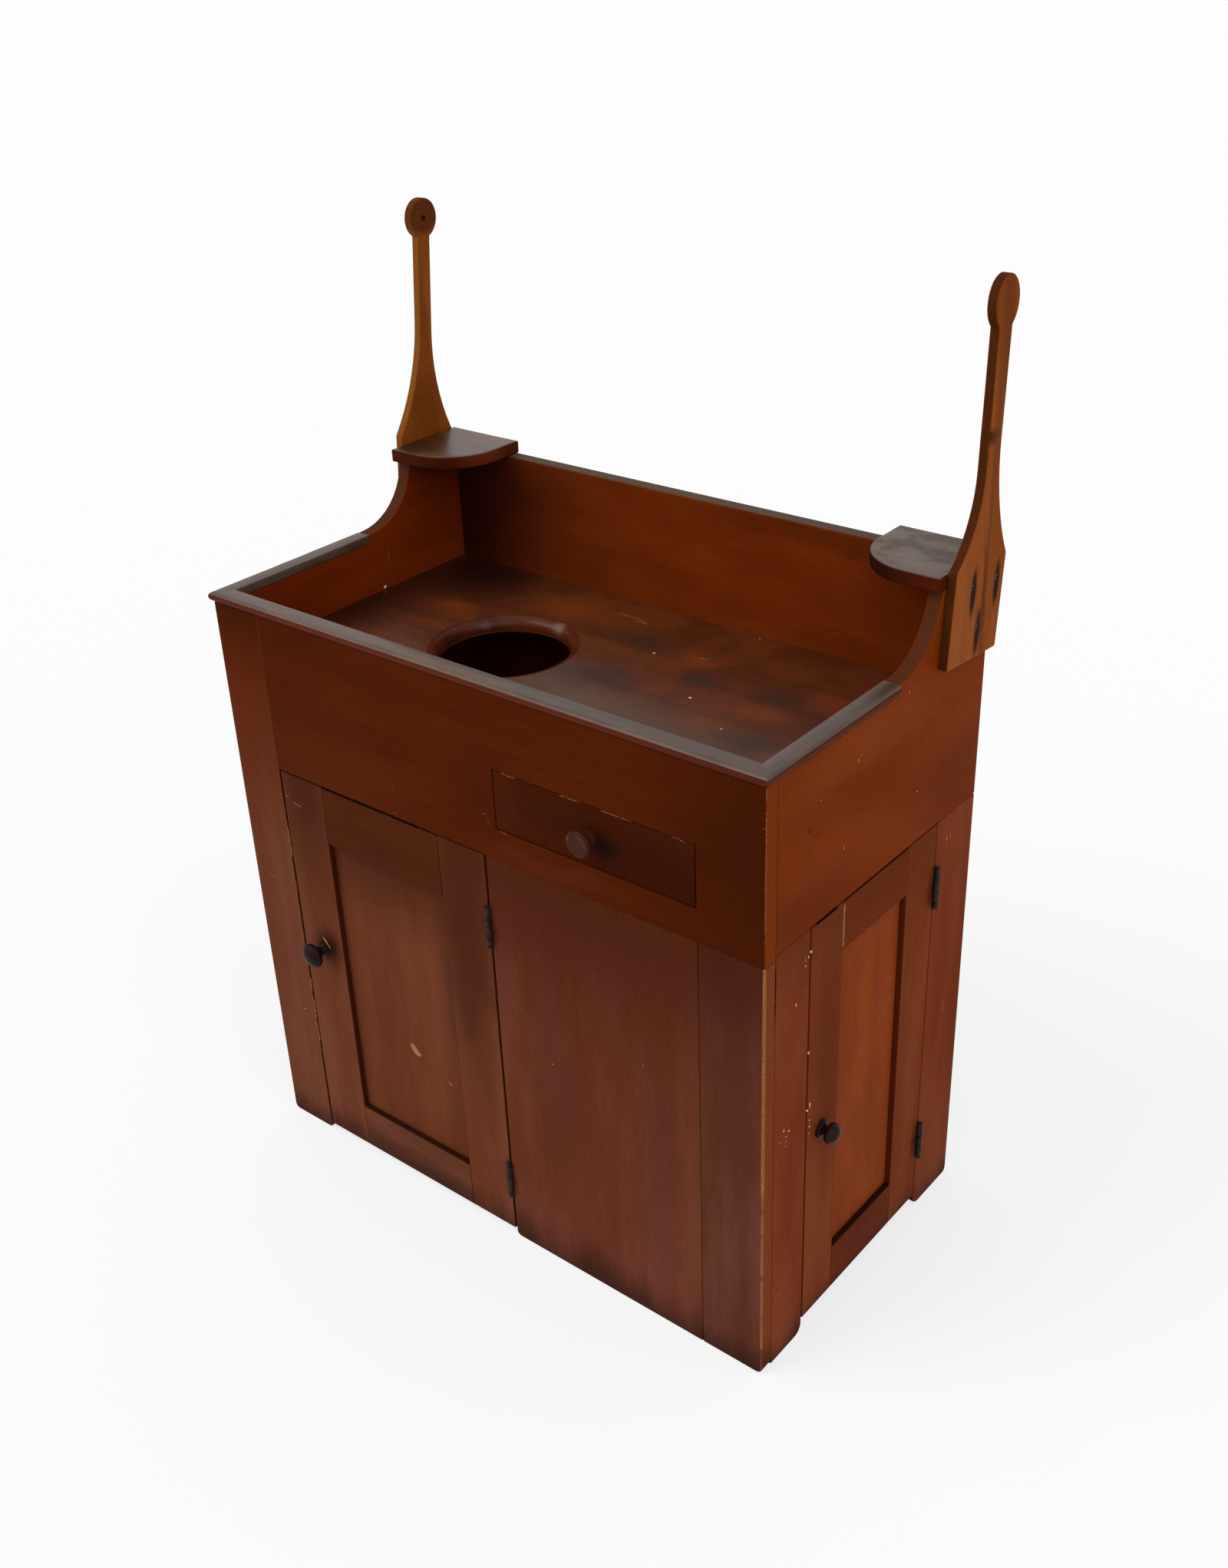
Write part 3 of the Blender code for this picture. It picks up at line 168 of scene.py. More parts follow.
def stained_pine(name, grain, tones, seed, specular=0.01, rough=(0.40, 0.56), zones=(), marks=(), edges=(),
                 spatter=(), turned=(), grime=0.0, figure=0.2, flecks=0.0, cloud_size=(312.5, 76.92),
                 cloud_range=(0.38, 0.66)):
    """Pine board, planed, stained red-brown and varnished long ago: soft clouds of tone, faint rings.

    tones are the main colour, that of its clouds and that of its dark streaks. zones are soft areas and
    marks are crisp ones, each a colour with its ellipsoids. edges are lines along edges, each a tone, a box
    and the share of it that shows: rubbed and dirty lines, painted shade in gaps and painted highlights.
    spatter is where fine drops of paint lie on a side board.
    turned gives a tone to the faces that look along an axis, either way unless it has a plus, or to all
    other faces where it is written with a not.
    grime is the height of the dirt along the floor. flecks is the share of 14 mm cells with a small pale
    chip, and of those with a dark one. cloud_size is the clouds' length and width in millimetres.
    """
    mat, tree, shader = new_finish(name)
    source = add(tree, "TexCoord")
    place = source.outputs["Object"]
    main, cloud_tone, streak_tone = (linear(tone) for tone in tones)
    # Stain soaks in unevenly, in clouds drawn out along the grain
    cloud = grain_noise(tree, place, grain, *cloud_size, 4.0, seed)
    # Growth rings of flat-sawn pine show as long bands about 22 mm apart
    rings = grain_noise(tree, place, grain, 625, 21.74, 2.0, seed + 11)
    # Fibres are 0.3 mm wide, drawn as 2.4 mm so that they show
    fibre = grain_noise(tree, place, grain, 38.46, 2.381, 3.0, seed + 23)
    # Dust and crazing in old varnish are too fine to show, so they are drawn as grains of 3 mm
    crazing = add(tree, "TexNoise", Vector=place, Scale=scale_of(2.941), Detail=2.0).outputs[0]
    colour = tinted(tree, main, cloud_tone, cloud, *cloud_range)
    colour = tinted(tree, colour, streak_tone, rings, 0.45, 0.70, figure)
    # A zone fades all the way out to its radii, a mark only near them, and both outlines are ragged
    soft = drifted(tree, place, 71.43, 22)
    for tone, strength, spots in zones:
        colour = tinted(tree, colour, linear(tone), nearest_spot(tree, soft, spots), 1.0, 0.1, strength)
    for axis, tone in turned:
        start, full = (0.80, 0.35) if axis.startswith("not") else (0.35, 0.80)
        facing = add(tree, "SeparateXYZ", Vector=source.outputs["Normal"]).outputs["xyz".index(axis[-1])]
        if not axis.startswith("+"):
            facing = add(tree, "Math", {"operation": "ABSOLUTE"}, in0=facing).outputs[0]
        colour = tinted(tree, colour, linear(tone), facing, start, full)
    if grime:
        # Dirt fades out at about this height, a little higher or lower with the clouds
        height = add(tree, "SeparateXYZ", Vector=place).outputs["Z"]
        drift = add(tree, "Math", {"operation": "MULTIPLY_ADD"}, in0=cloud, in1=-1.6 * grime, in2=height)
        colour = tinted(tree, colour, linear("#2b1812"), drift.outputs[0], 0.2 * grime, -0.9 * grime, 0.75)
    if flecks:
        cells = add(tree, "TexVoronoi", Vector=drifted(tree, place, 3.333, 1), Scale=scale_of(14.29))
        chance = add(tree, "SeparateColor", Color=cells.outputs["Color"]).outputs[0]
        for tone, first, last in (("#9a6c4e", flecks, flecks - 0.01), ("#2c130b", 1 - flecks, 1.01 - flecks)):
            held = add(tree, "MapRange", Value=chance, From_Min=first, From_Max=last, To_Min=1.0, To_Max=0.0)
            chip = add(tree, "Math", {"operation": "ADD"}, in0=cells.outputs["Distance"], in1=held.outputs[0])
            colour = tinted(tree, colour, linear(tone), chip.outputs[0], 0.055, 0.025, 0.8)
    if marks:
        near = drifted(tree, place, 3.333, 0.8)
        for tone, spots in marks:
            colour = tinted(tree, colour, linear(tone), nearest_spot(tree, near, spots), 1.0, 0.6)
    if spatter:
        # Drops 1 to 3 mm across, in a third of the 5 mm cells
        parts = add(tree, "SeparateXYZ", Vector=place).outputs
        flat = add(tree, "CombineXYZ", X=parts["Y"], Y=parts["Z"])
        drops = add(tree, "TexVoronoi", {"voronoi_dimensions": "2D"}, Vector=flat.outputs[0],
                    Scale=scale_of(5.263))
        chance = add(tree, "SeparateColor", Color=drops.outputs["Color"]).outputs[0]
        radius = add(tree, "MapRange", Value=chance, From_Min=0.66, From_Max=1.0, To_Max=0.28)
        within = add(tree, "MapRange", Value=nearest_spot(tree, place, spatter), From_Min=1.0, From_Max=0.8)
        radius = add(tree, "Math", {"operation": "MULTIPLY"}, in0=radius.outputs[0], in1=within.outputs[0])
        inside = add(tree, "Math", {"operation": "SUBTRACT"}, in0=drops.outputs["Distance"],
                     in1=radius.outputs[0])
        colour = tinted(tree, colour, linear("#dccdb4"), inside.outputs[0], 0.0, -0.06)
    if edges:
        frayed = drifted(tree, place, 4.167, 1.1)
        patches = grain_noise(tree, place, grain, 38.46, 38.46, 6.0, seed + 5)
        for tone, centre, halves, share in edges:
            line = along_edge(tree, frayed, centre, halves, share, patches)
            colour = tinted(tree, colour, linear(tone), line, 1.25, 0.45, 0.95)
    # Fibres and dust shade the tone both ways, and leave it as it is where both are at their middle
    fibre_shade, dust_shade = 0.30, 0.52
    depth = add(tree, "Math", {"operation": "MULTIPLY_ADD"}, in0=fibre, in1=fibre_shade,
                in2=1 - (fibre_shade + dust_shade) / 2)
    depth = add(tree, "Math", {"operation": "MULTIPLY_ADD"}, in0=crazing, in1=dust_shade,
                in2=depth.outputs[0])
    shade = add(tree, "VectorMath", {"operation": "SCALE"}, in0=colour, Scale=depth.outputs[0])
    tree.links.new(shade.outputs[0], shader.inputs["Base Color"])
    gloss = add(tree, "MapRange", Value=cloud, From_Min=0.3, From_Max=0.7, To_Min=rough[0], To_Max=rough[1])
    tree.links.new(gloss.outputs[0], shader.inputs["Roughness"])
    shader.inputs["Specular IOR Level"].default_value = specular
    # Varnish has sunk along the fibres by a few hundredths of a millimetre, so gloss breaks up there
    relief = add(tree, "Math", {"operation": "ADD"}, in0=fibre, in1=rings)
    bump = add(tree, "Bump", Height=relief.outputs[0], Strength=0.25, Distance=0.0003)
    tree.links.new(bump.outputs[0], shader.inputs["Normal"])
    return mat


def finish_nodes(material, *names):
    """Gives CAD nodes their material."""
    for name in names:
        obj = nodes[name]
        obj.data.materials.clear()
        obj.data.materials.append(material)


def dress(names, *finish, **looks):
    """Gives boards of the CAD model a pine finish of their own."""
    finish_nodes(stained_pine(*finish, **looks), *names)


def on_front(x, z, across, up, lean=0.0):
    """A mark on the front face, leaning by an angle from upright."""
    return (x, FRONT, z), (across, ON_FACE, up), (0, lean, 0)


def on_side(y, z, across, up, lean=0.0):
    """A mark on the right face, leaning by an angle from upright."""
    return (RIGHT, y, z), (ON_FACE, across, up), (lean, 0, 0)


def on_tray(x, y, along, across, turn=0.0):
    """A mark on the tray floor, turned from the X axis."""
    return (x, y, TRAY_TOP), (along, across, ON_FACE), (0, 0, turn)


def on_shelf(x, y, along, across, turn, deep=ON_FACE):
    """A mark on a corner shelf, turned from the X axis."""
    return (x, y, SHELF_TOP), (along, across, deep), (0, 0, turn)


def soft_spot(x, y, z, wide, deep, high):
    """A soft area round a point, with its three radii."""
    return (x, y, z), (wide, deep, high), (0, 0, 0)


def front_area(x, z, wide, high):
    """A soft area on the front."""
    return soft_spot(x, FRONT, z, wide, THROUGH, high)


def side_area(y, z, wide, high):
    """A soft area on the right side."""
    return soft_spot(RIGHT, y, z, THROUGH, wide, high)


def tray_area(x, y, wide, deep):
    """A soft area on the tray floor."""
    return soft_spot(x, y, TRAY_TOP, wide, deep, THROUGH)


def painted_shade_by_hinges(door, radii):
    """Soft dark areas on the boards round a door's two hinges: painted shade, for the hinges' shadow and the
    dark halo round them.
    """
    pins = [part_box("%s_%s_hinge_pin" % (door, place)) for place in ("upper", "lower")]
    return "#3a1d14", 0.8, [soft_spot(*(sum(pin, Vector()) / 2), *radii) for pin in pins]


# Painted shade round the hinges of both doors
front_hinge_shade = painted_shade_by_hinges("front_door", (0.016, 0.08, 0.040))
side_hinge_shade = painted_shade_by_hinges("side_door", (0.08, 0.014, 0.038))

# Edges that painted gap shade and wear follow, and the recessed face of the front door's panel
door_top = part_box("front_door_top_rail")[1].z
side_door_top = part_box("side_door_top_rail")[1].z
door_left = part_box("front_door_latch_stile")[0].x
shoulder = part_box("side_door_latch_stile")[1].y
rail_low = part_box("side_door_top_rail")[0].z
panel_face = FRONT + 0.0085

# Boards of the front, from left to right. Their right ends show on the side, in its brighter tone.
# Marks are drops, chips and scratches, and edges are rubbed corners and dark lines in the gaps round the
# doors, painted shade with some dirt
# The near-black gap tone is painted shade in the gaps round the doors, with some dirt
worn_tan, worn_red, worn_gold, gap_shade_and_dirt = "#9b6237", "#7c4731", "#946030", "#0e0502"
dress(
    ["front_left_stile"], "stained pine, left stile", "z", ("#693c29", "#643423", "#56281a"), 1.0,
    grime=0.05, flecks=0.1, turned=[("x", "#5a2c14")],
    zones=[("#561f03", 1.0, [front_area(LEFT + 0.04, 0.82, 0.2, 0.48)]),
           ("#3c1200", 1.0, [front_area(LEFT + 0.04, 0.84, 0.2, 0.17)])],
    marks=[("#c8b49a", [on_front(-0.3593, 0.2013, 0.0012, 0.0012)]),
           ("#8d5f42", [on_front(-0.385, 0.41, 0.009, 0.0005, 3),
                        on_front(-0.379, 0.33, 0.006, 0.0004, -4)])],
    edges=[(gap_shade_and_dirt, (door_left - 0.0015, FRONT, 0.3), (0.001, 0.003, 0.285), 0.88),
           (worn_gold, (door_left - 0.0026, FRONT, 0.2), (0.0007, 0.002, 0.062), 0.5),
           (worn_gold, (door_left - 0.0024, FRONT, 0.5), (0.0006, 0.002, 0.045), 0.36)])
dress(
    ["front_apron"], "stained pine, apron", "x", ("#4e1b03", "#461702", "#3a1101"), 2.0, flecks=0.05,
    turned=[("+x", "#722e06")],
    zones=[("#54220a", 0.7, [front_area(-0.25, 0.62, 0.2, 0.08)]),
           ("#3c1302", 0.9, [front_area(0.4, 0.7, 0.2, 0.3)]),
           ("#431606", 0.7, [front_area(0.03, 0.675, 0.09, 0.075)]),
           ("#54210e", 0.7, [front_area(0.12, 0.6, 0.15, 0.022)])],
    marks=[("#80502a", [on_front(0.0268, 0.631, 0.0035, 0.0004), on_front(0.021, 0.6396, 0.005, 0.0004, 3),
                        on_front(0.05, 0.6238, 0.007, 0.0005, 6)]),
           ("#8d5a2c", [on_front(-0.129, 0.59, 0.001, 0.001)])],
    edges=[(gap_shade_and_dirt, (-0.215, FRONT, door_top + 0.0015), (0.122, 0.003, 0.0017), 0.98),
           (gap_shade_and_dirt, (-0.045, FRONT, door_top + 0.0015), (0.06, 0.003, 0.001), 0.9),
           ("#401707", (0.0365, FRONT, 0.6635), (0.0012, 0.03, 0.042), 1.0),
           ("#a87440", (0.11, FRONT, 0.7018), (0.07, 0.002, 0.0003), 0.8),
           ("#85532b", (0.235, FRONT, 0.7018), (0.08, 0.002, 0.0003), 0.5),
           (worn_red, (RIGHT, FRONT, 0.705), (0.001, 0.001, 0.092), 0.66)])
dress(
    ["front_panel"], "stained pine, fixed panel", "z", ("#673727", "#5e2d1a", "#51261a"), 3.0, grime=0.07,
    flecks=0.16,
    zones=[("#4a200e", 1.0, [front_area(0.17, 0.62, 0.8, 0.34)]),
           ("#512a20", 0.5, [front_area(0.1, 0.3, 0.05, 0.22), front_area(0.26, 0.25, 0.04, 0.26)]),
           front_hinge_shade],
    marks=[("#c9a27a", [on_front(0.101, 0.321, 0.001, 0.0008), on_front(0.24, 0.385, 0.0007, 0.0007)])])
dress(
    ["front_right_stile"], "stained pine, right stile", "z", ("#60372a", "#552b1b", "#482015"), 4.0,
    grime=0.05, flecks=0.14, turned=[("+x", "#74371a")],
    edges=[(worn_tan, (RIGHT, FRONT, 0.44), (0.0028, 0.0028, 0.16), 0.88),
           (worn_tan, (RIGHT, FRONT, 0.19), (0.0023, 0.0023, 0.15), 0.64),
           (worn_red, (RIGHT, FRONT, 0.3), (0.0012, 0.0012, 0.3), 0.7)],
    zones=[("#451b0f", 0.95, [front_area(0.36, 0.62, 0.4, 0.26)])])

# Boards of the right side
dress(
    ["right_upper_side"], "stained pine, upper side", "y", ("#742e05", "#6c2a04", "#5c1f02"), 5.0,
    # Its top and scooped edges have a greyer brown tone, painted sheen with some wear
    flecks=0.06, turned=[("not x", "#512917")], cloud_size=(200, 83.33),
    zones=[("#5f260b", 0.7, [side_area(0.17, 0.64, 0.14, 0.09), side_area(-0.14, 0.62, 0.16, 0.05)]),
           ("#7c3714", 0.6, [side_area(-0.02, 0.76, 0.22, 0.05)])],
    marks=[("#3a1a0c", [on_side(-0.1307, 0.7105, 0.003, 0.003), on_side(-0.115, 0.7, 0.01, 0.0006, 4)]),
           ("#a9713f", [on_side(-0.1105, 0.7368, 0.0018, 0.0009), on_side(-0.0624, 0.6568, 0.0009, 0.004),
                        on_side(-0.04, 0.752, 0.0012, 0.003, -20), on_side(-0.034, 0.756, 0.0009, 0.002, 15),
                        on_side(0.06, 0.79, 0.0009, 0.003)]),
           ("#dccab2", [on_side(0.0898, 0.655, 0.0008, 0.0008)])])
dress(
    ["side_front_stile"], "stained pine, side front stile", "z", ("#78371a", "#6e2f15", "#5e250e"), 6.0,
    # Its faces that do not look along X, beside the door, have a tone of painted shade
    grime=0.05, flecks=0.12, turned=[("not x", "#3c1a0c")],
    zones=[("#632c11", 0.95, [side_area(-0.16, 0.62, 0.2, 0.14)])],
    spatter=[on_side(-0.13, 0.535, 0.008, 0.03), on_side(-0.165, 0.335, 0.012, 0.018)],
    marks=[("#c9b596", [on_side(-0.149, 0.5046, 0.0012, 0.003, 12)]),
           ("#a05a2c", [on_side(-0.176, 0.1018, 0.008, 0.0006, 18)]),
           ("#2a0f06", [on_side(-0.1884, 0.542, 0.001, 0.046)])])
dress(
    ["side_rear_stile"], "stained pine, side rear stile", "z", ("#763418", "#6d2e12", "#5a210a"), 7.0,
    # Its faces that do not look along X, beside the door, have a tone of painted shade
    grime=0.05, flecks=0.16, turned=[("not x", "#3c1a0c")],
    zones=[side_hinge_shade],
    marks=[("#a96d42", [on_side(0.19, 0.3, 0.0006, 0.011, 4)]),
           ("#b97450", [on_side(0.169, 0.556, 0.0008, 0.005, 8),
                        on_side(0.178, 0.556, 0.0007, 0.0045, 10)])])
dress(
    # Its tones are lifted, as painted light, for the tray's inner wall, which gets little light, and a zone
    # darkens its outer face
    ["left_side"], "stained pine, left side", "y", ("#752b06", "#6b2404", "#571903"), 8.0,
    # Its edges have a greyer brown tone, painted sheen with some wear
    turned=[("not x", "#4f2a1a")], cloud_size=(200, 83.33),
    zones=[("#431304", 0.7, [soft_spot(INNER_LEFT, 0.19, 0.9, THROUGH, 0.07, 0.07)]),
           ("#602c16", 0.9, [soft_spot(LEFT, 0.0, 0.1, 0.06, 0.8, 0.72)])],
    marks=[("#8e5731", [((INNER_LEFT, 0.0692, 0.7684), (ON_FACE, 0.0006, 0.016), (3, 0, 0)),
                        ((INNER_LEFT, 0.0327, 0.7764), (ON_FACE, 0.0012, 0.0006), (0, 0, 0))]),
           ("#e6dccd", [((INNER_LEFT, 0.0568, 0.7285), (ON_FACE, 0.003, 0.0022), (20, 0, 0))])])
dress(
    # Its tones are lifted, as painted light, for a wall that gets little light inside the tray
    ["backboard"], "stained pine, backboard", "x", ("#78310c", "#692808", "#541d05"), 9.0,
    # Its top edge and ends have a grey-brown tone, painted sheen with some wear
    turned=[("not y", "#54453b")], cloud_size=(200, 83.33),
    # Painted shade towards the tray's back-left corner
    zones=[("#401505", 0.9, [soft_spot(INNER_LEFT, INNER_BACK, 0.81, 0.4, 0.3, 0.3)]),
           ("#2b1007", 0.8, [soft_spot(INNER_LEFT + 0.02, INNER_BACK, 0.79, 0.13, 0.3, 0.2)]),
           ("#4a1a05", 0.6, [soft_spot(0.2, INNER_BACK, 0.88, 0.34, 0.3, 0.035)])],
    edges=[("#85623e", (0.0, BACK, 0.7), (0.5, 0.002, 0.5), 1.5)])

# Doors. Round the front one's knob a dark area is painted: the knob's shadow and the dirt of hands. The dark
# lines in their gaps and the dark faces round their panels are painted shade
knob_x, knob_z = -0.29935, 0.326
dress(
    ["front_door_latch_stile", "front_door_hinge_stile"], "stained pine, front door stiles", "z",
    # The faces that look along X, in the gaps and round the panel, have a tone of painted shade
    ("#6c3c29", "#64331f", "#532818"), 18.0, grime=0.06, flecks=0.12, turned=[("x", "#3d180c")],
    zones=[("#48200e", 1.0, [front_area(-0.3, 0.62, 0.1, 0.34), front_area(-0.02, 0.62, 0.1, 0.36)]),
           ("#45210f", 0.75, [front_area(-0.03, 0.4, 0.06, 0.26)]),
           # Painted shadow of the knob, to its right, with the dirt of hands
           ("#24130f", 0.95, [front_area(knob_x + 0.012, knob_z + 0.002, 0.036, 0.04)]),
           front_hinge_shade],
    marks=[("#d0893a", [on_front(-0.2935, 0.3395, 0.0014, 0.01, -38),
                        on_front(-0.288, 0.333, 0.001, 0.004, -30)]),
           ("#94654a", [on_front(-0.312, 0.5415, 0.01, 0.0006, 8),
                        on_front(-0.33, 0.548, 0.006, 0.0005, 5)]),
           ("#2a120a", [on_front(-0.2818, 0.5497, 0.0014, 0.0014)])],
    edges=[(gap_shade_and_dirt, (door_left, FRONT, 0.45), (0.0014, 0.003, 0.125), 0.95),
           (gap_shade_and_dirt, (door_left, FRONT, 0.19), (0.001, 0.003, 0.15), 0.85),
           (worn_gold, (door_left + 0.0022, FRONT, 0.5), (0.0005, 0.002, 0.06), 0.3)])
dress(
    ["front_door_top_rail"], "stained pine, front door top rail", "x", ("#4c210b", "#441c09", "#3a1506"),
    # The top and bottom faces, in the gaps and over the panel, have a tone of painted shade
    19.0, flecks=0.08, turned=[("z", "#32140b")],
    edges=[(gap_shade_and_dirt, (-0.18, FRONT, door_top), (0.09, 0.003, 0.0012), 0.95)])
dress(
    ["front_door_bottom_rail"], "stained pine, front door bottom rail", "x",
    # The top and bottom faces, in the gaps and under the panel, have a tone of painted shade
    ("#6d3f2b", "#5f3523", "#51291a"), 20.0, flecks=0.14, grime=0.06, turned=[("z", "#31160d")])
dress(
    ["front_door_panel"], "stained pine, front door panel", "z", ("#6a3823", "#5f301c", "#53271c"), 21.0,
    flecks=0.12,
    zones=[("#492212", 0.95, [front_area(-0.16, 0.53, 0.4, 0.15)]),
           ("#4f291d", 0.7, [front_area(-0.065, 0.36, 0.04, 0.22)])],
    marks=[("#a06848", [((-0.1518, panel_face, 0.2203), (0.006, ON_FACE, 0.0125), (0, -42, 0)),
                        ((-0.148, panel_face, 0.216), (0.008, ON_FACE, 0.0045), (0, 0, 0))]),
           ("#7a4a33", [((-0.0905, panel_face, 0.193), (0.005, ON_FACE, 0.0035), (0, 20, 0))])])
dress(
    ["side_door_latch_stile", "side_door_hinge_stile"], "stained pine, side door stiles", "z",
    # The faces that look along Y, in the gaps and round the panel, have a tone of painted shade
    ("#773818", "#6c2f12", "#5a240c"), 22.0, grime=0.05, flecks=0.12, turned=[("y", "#521f0d")],
    zones=[("#5e2911", 0.9, [side_area(0.0, 0.62, 0.4, 0.16)]),
           ("#5a2a13", 0.7, [side_area(-0.078, 0.38, 0.05, 0.24)]),
           side_hinge_shade],
    spatter=[on_side(-0.123, 0.545, 0.005, 0.022), on_side(-0.119, 0.325, 0.006, 0.032)],
    marks=[("#c9b596", [on_side(-0.1213, 0.4232, 0.0012, 0.0022),
                        on_side(-0.1165, 0.348, 0.0014, 0.0032, 10)])],
    edges=[(gap_shade_and_dirt, (RIGHT, -0.092, side_door_top), (0.003, 0.021, 0.0022), 0.95)])
dress(
    ["side_door_top_rail", "side_door_bottom_rail"], "stained pine, side door rails", "y",
    # The top and bottom faces, in the gaps and round the panel, have a tone of painted shade
    ("#642809", "#592108", "#4a1b05"), 23.0, grime=0.05, turned=[("z", "#2e130a")],
    # A pale line along the top rail, beside the latch stile, is a painted highlight
    edges=[("#a87c4a", (RIGHT, shoulder + 0.0008, (rail_low + side_door_top) / 2),
            (0.003, 0.0012, (side_door_top - rail_low) / 2 - 0.004), 0.75)])
dress(
    ["side_door_panel"], "stained pine, side door panel", "z", ("#853c1a", "#7a3515", "#6a2c10"), 24.0,
    flecks=0.06,
    zones=[("#8c4313", 0.5, [side_area(0.01, 0.4, 0.03, 0.2)])])

# Drawer, and the bare wood inside
pull_low, pull_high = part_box("drawer_knob")
pull_x, pull_z = (pull_low.x + pull_high.x) / 2, (pull_low.z + pull_high.z) / 2
dress(
    ["drawer_front"], "stained pine, drawer front", "x", ("#3f1604", "#381204", "#2d0d03"), 25.0,
    zones=[("#2f0e04", 0.7, [front_area(0.27, 0.655, 0.12, 0.07)]),
           ("#461907", 0.8, [front_area(0.03, 0.665, 0.075, 0.08)]),
           # Painted shadow of the knob, to its right and below, with some dirt
           ("#170b06", 0.95, [front_area(pull_x + 0.02, pull_z - 0.006, 0.03, 0.024)])],
    edges=[("#8a5a32", (0.11, FRONT, 0.7008), (0.06, 0.002, 0.0004), 0.4),
           ("#8a5a32", (0.24, FRONT, 0.7008), (0.07, 0.002, 0.0004), 0.4)])
for run, seed, boards in (
        ("x", 26.0, ["back_lower_board", "bottom_board", "drawer_back"]),
        ("y", 36.0, ["drawer_runner_left", "drawer_runner_right", "drawer_side_left", "drawer_side_right",
                     "drawer_bottom"]),
        ("z", 37.0, ["divider", "front_door_turn_button", "side_door_turn_button"])):
    dress(boards, "bare pine, planed and aged, grain along " + run, run, ("#8f6b46", "#82603c", "#6b4c2c"),
          seed, specular=0.1, rough=(0.6, 0.8), figure=0.45, cloud_size=(500, 62.5))

# Towel arms
dress(
    ["towel_arm_left"], "honey pine, left arm", "z", ("#83461b", "#763b11", "#602f0c"), 16.0,
    rough=(0.36, 0.5), figure=0.5, flecks=0.06, turned=[("not x", "#7a4a1e")],
    zones=[("#66310c", 0.7, [soft_spot(LEFT, 0.18, 0.94, THROUGH, 0.05, 0.07)])],
    marks=[("#54290f", [soft_spot(LEFT, 0.2086, 1.1845, THROUGH, 0.034, 0.028)])])

screws = [sum(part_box("arm_screw_right_%d" % number), Vector()) / 2 for number in (1, 2, 3)]


def round_screws(reach, width):
    """Upright ellipses round the right arm's screws, where iron has blackened the wood."""
    return [((ARM_FACE, at.y + 0.0008, at.z - 0.006), (THROUGH, width, reach), (-4, 0, 0)) for at in screws]


dress(
    ["towel_arm_right"], "honey pine, right arm", "z", ("#8b4a1c", "#7c3d10", "#5a2907"), 17.0,
    rough=(0.36, 0.5), figure=0.6, flecks=0.08, turned=[("not x", "#47220d")],
    zones=[("#512308", 0.7, [soft_spot(ARM_FACE, screws[0].y + 0.024, 0.86, THROUGH, 0.008, 0.1)]),
           ("#2c1408", 0.9, [soft_spot(ARM_FACE - 0.012, 0.176, 1.035, 0.02, 0.03, 0.012)])],
    marks=[("#8a5b42", [((ARM_FACE, 0.172, 0.7893), (ON_FACE, 0.056, 0.0018), (-5.4, 0, 0))]),
           ("#5f3012", round_screws(0.036, 0.0085)),
           ("#412008", round_screws(0.03, 0.0068)),
           ("#251107", round_screws(0.022, 0.005))])


# Pieces shaped anew: closed skins of rings, each worked out as a whole array

def skin(name, rings, body, materials, numbers, closed=False):
    """A closed skin from rings of equal length, each joined to the next.

    numbers gives the material of each quad, per band and place round the ring. The first and last rings
    are filled in, or joined to each other where closed is set.
    """
    count, around = rings.shape[:2]
    band = np.arange(count * around).reshape(count, around)
    ahead = np.roll(band, -1, axis=0)
    quads = np.stack([band, np.roll(band, -1, axis=1), np.roll(ahead, -1, axis=1), ahead], axis=-1)
    quads = quads if closed else quads[:-1]
    faces = quads.reshape(-1, 4).tolist()
    kinds = np.broadcast_to(numbers, quads.shape[:2]).reshape(-1).tolist()
    if not closed:
        faces += [band[0, ::-1].tolist(), band[-1].tolist()]
        kinds += [kinds[0], kinds[-1]]
    mesh = bpy.data.meshes.new(name)
    mesh.from_pydata(rings.reshape(-1, 3).tolist(), [], faces)
    for material in materials:
        mesh.materials.append(material)
    mesh.polygons.foreach_set("material_index", kinds)
    mesh.polygons.foreach_set("use_smooth", [True] * len(faces))
    shape = bmesh.new()
    shape.from_mesh(mesh)
    bmesh.ops.recalc_face_normals(shape, faces=shape.faces)
    shape.to_mesh(mesh)
    shape.free()
    mesh.set_sharp_from_angle(angle=math.radians(50))
    obj = placed(name, mesh)
    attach(obj, body)
    return obj


def quarter(centre, radius, start, end, steps=5):
    """Points on a circular arc from start to end, in degrees."""
    angle = np.radians(np.linspace(start, end, steps))
    return np.stack([centre[0] + radius * np.cos(angle), centre[1] + radius * np.sin(angle)], axis=-1)


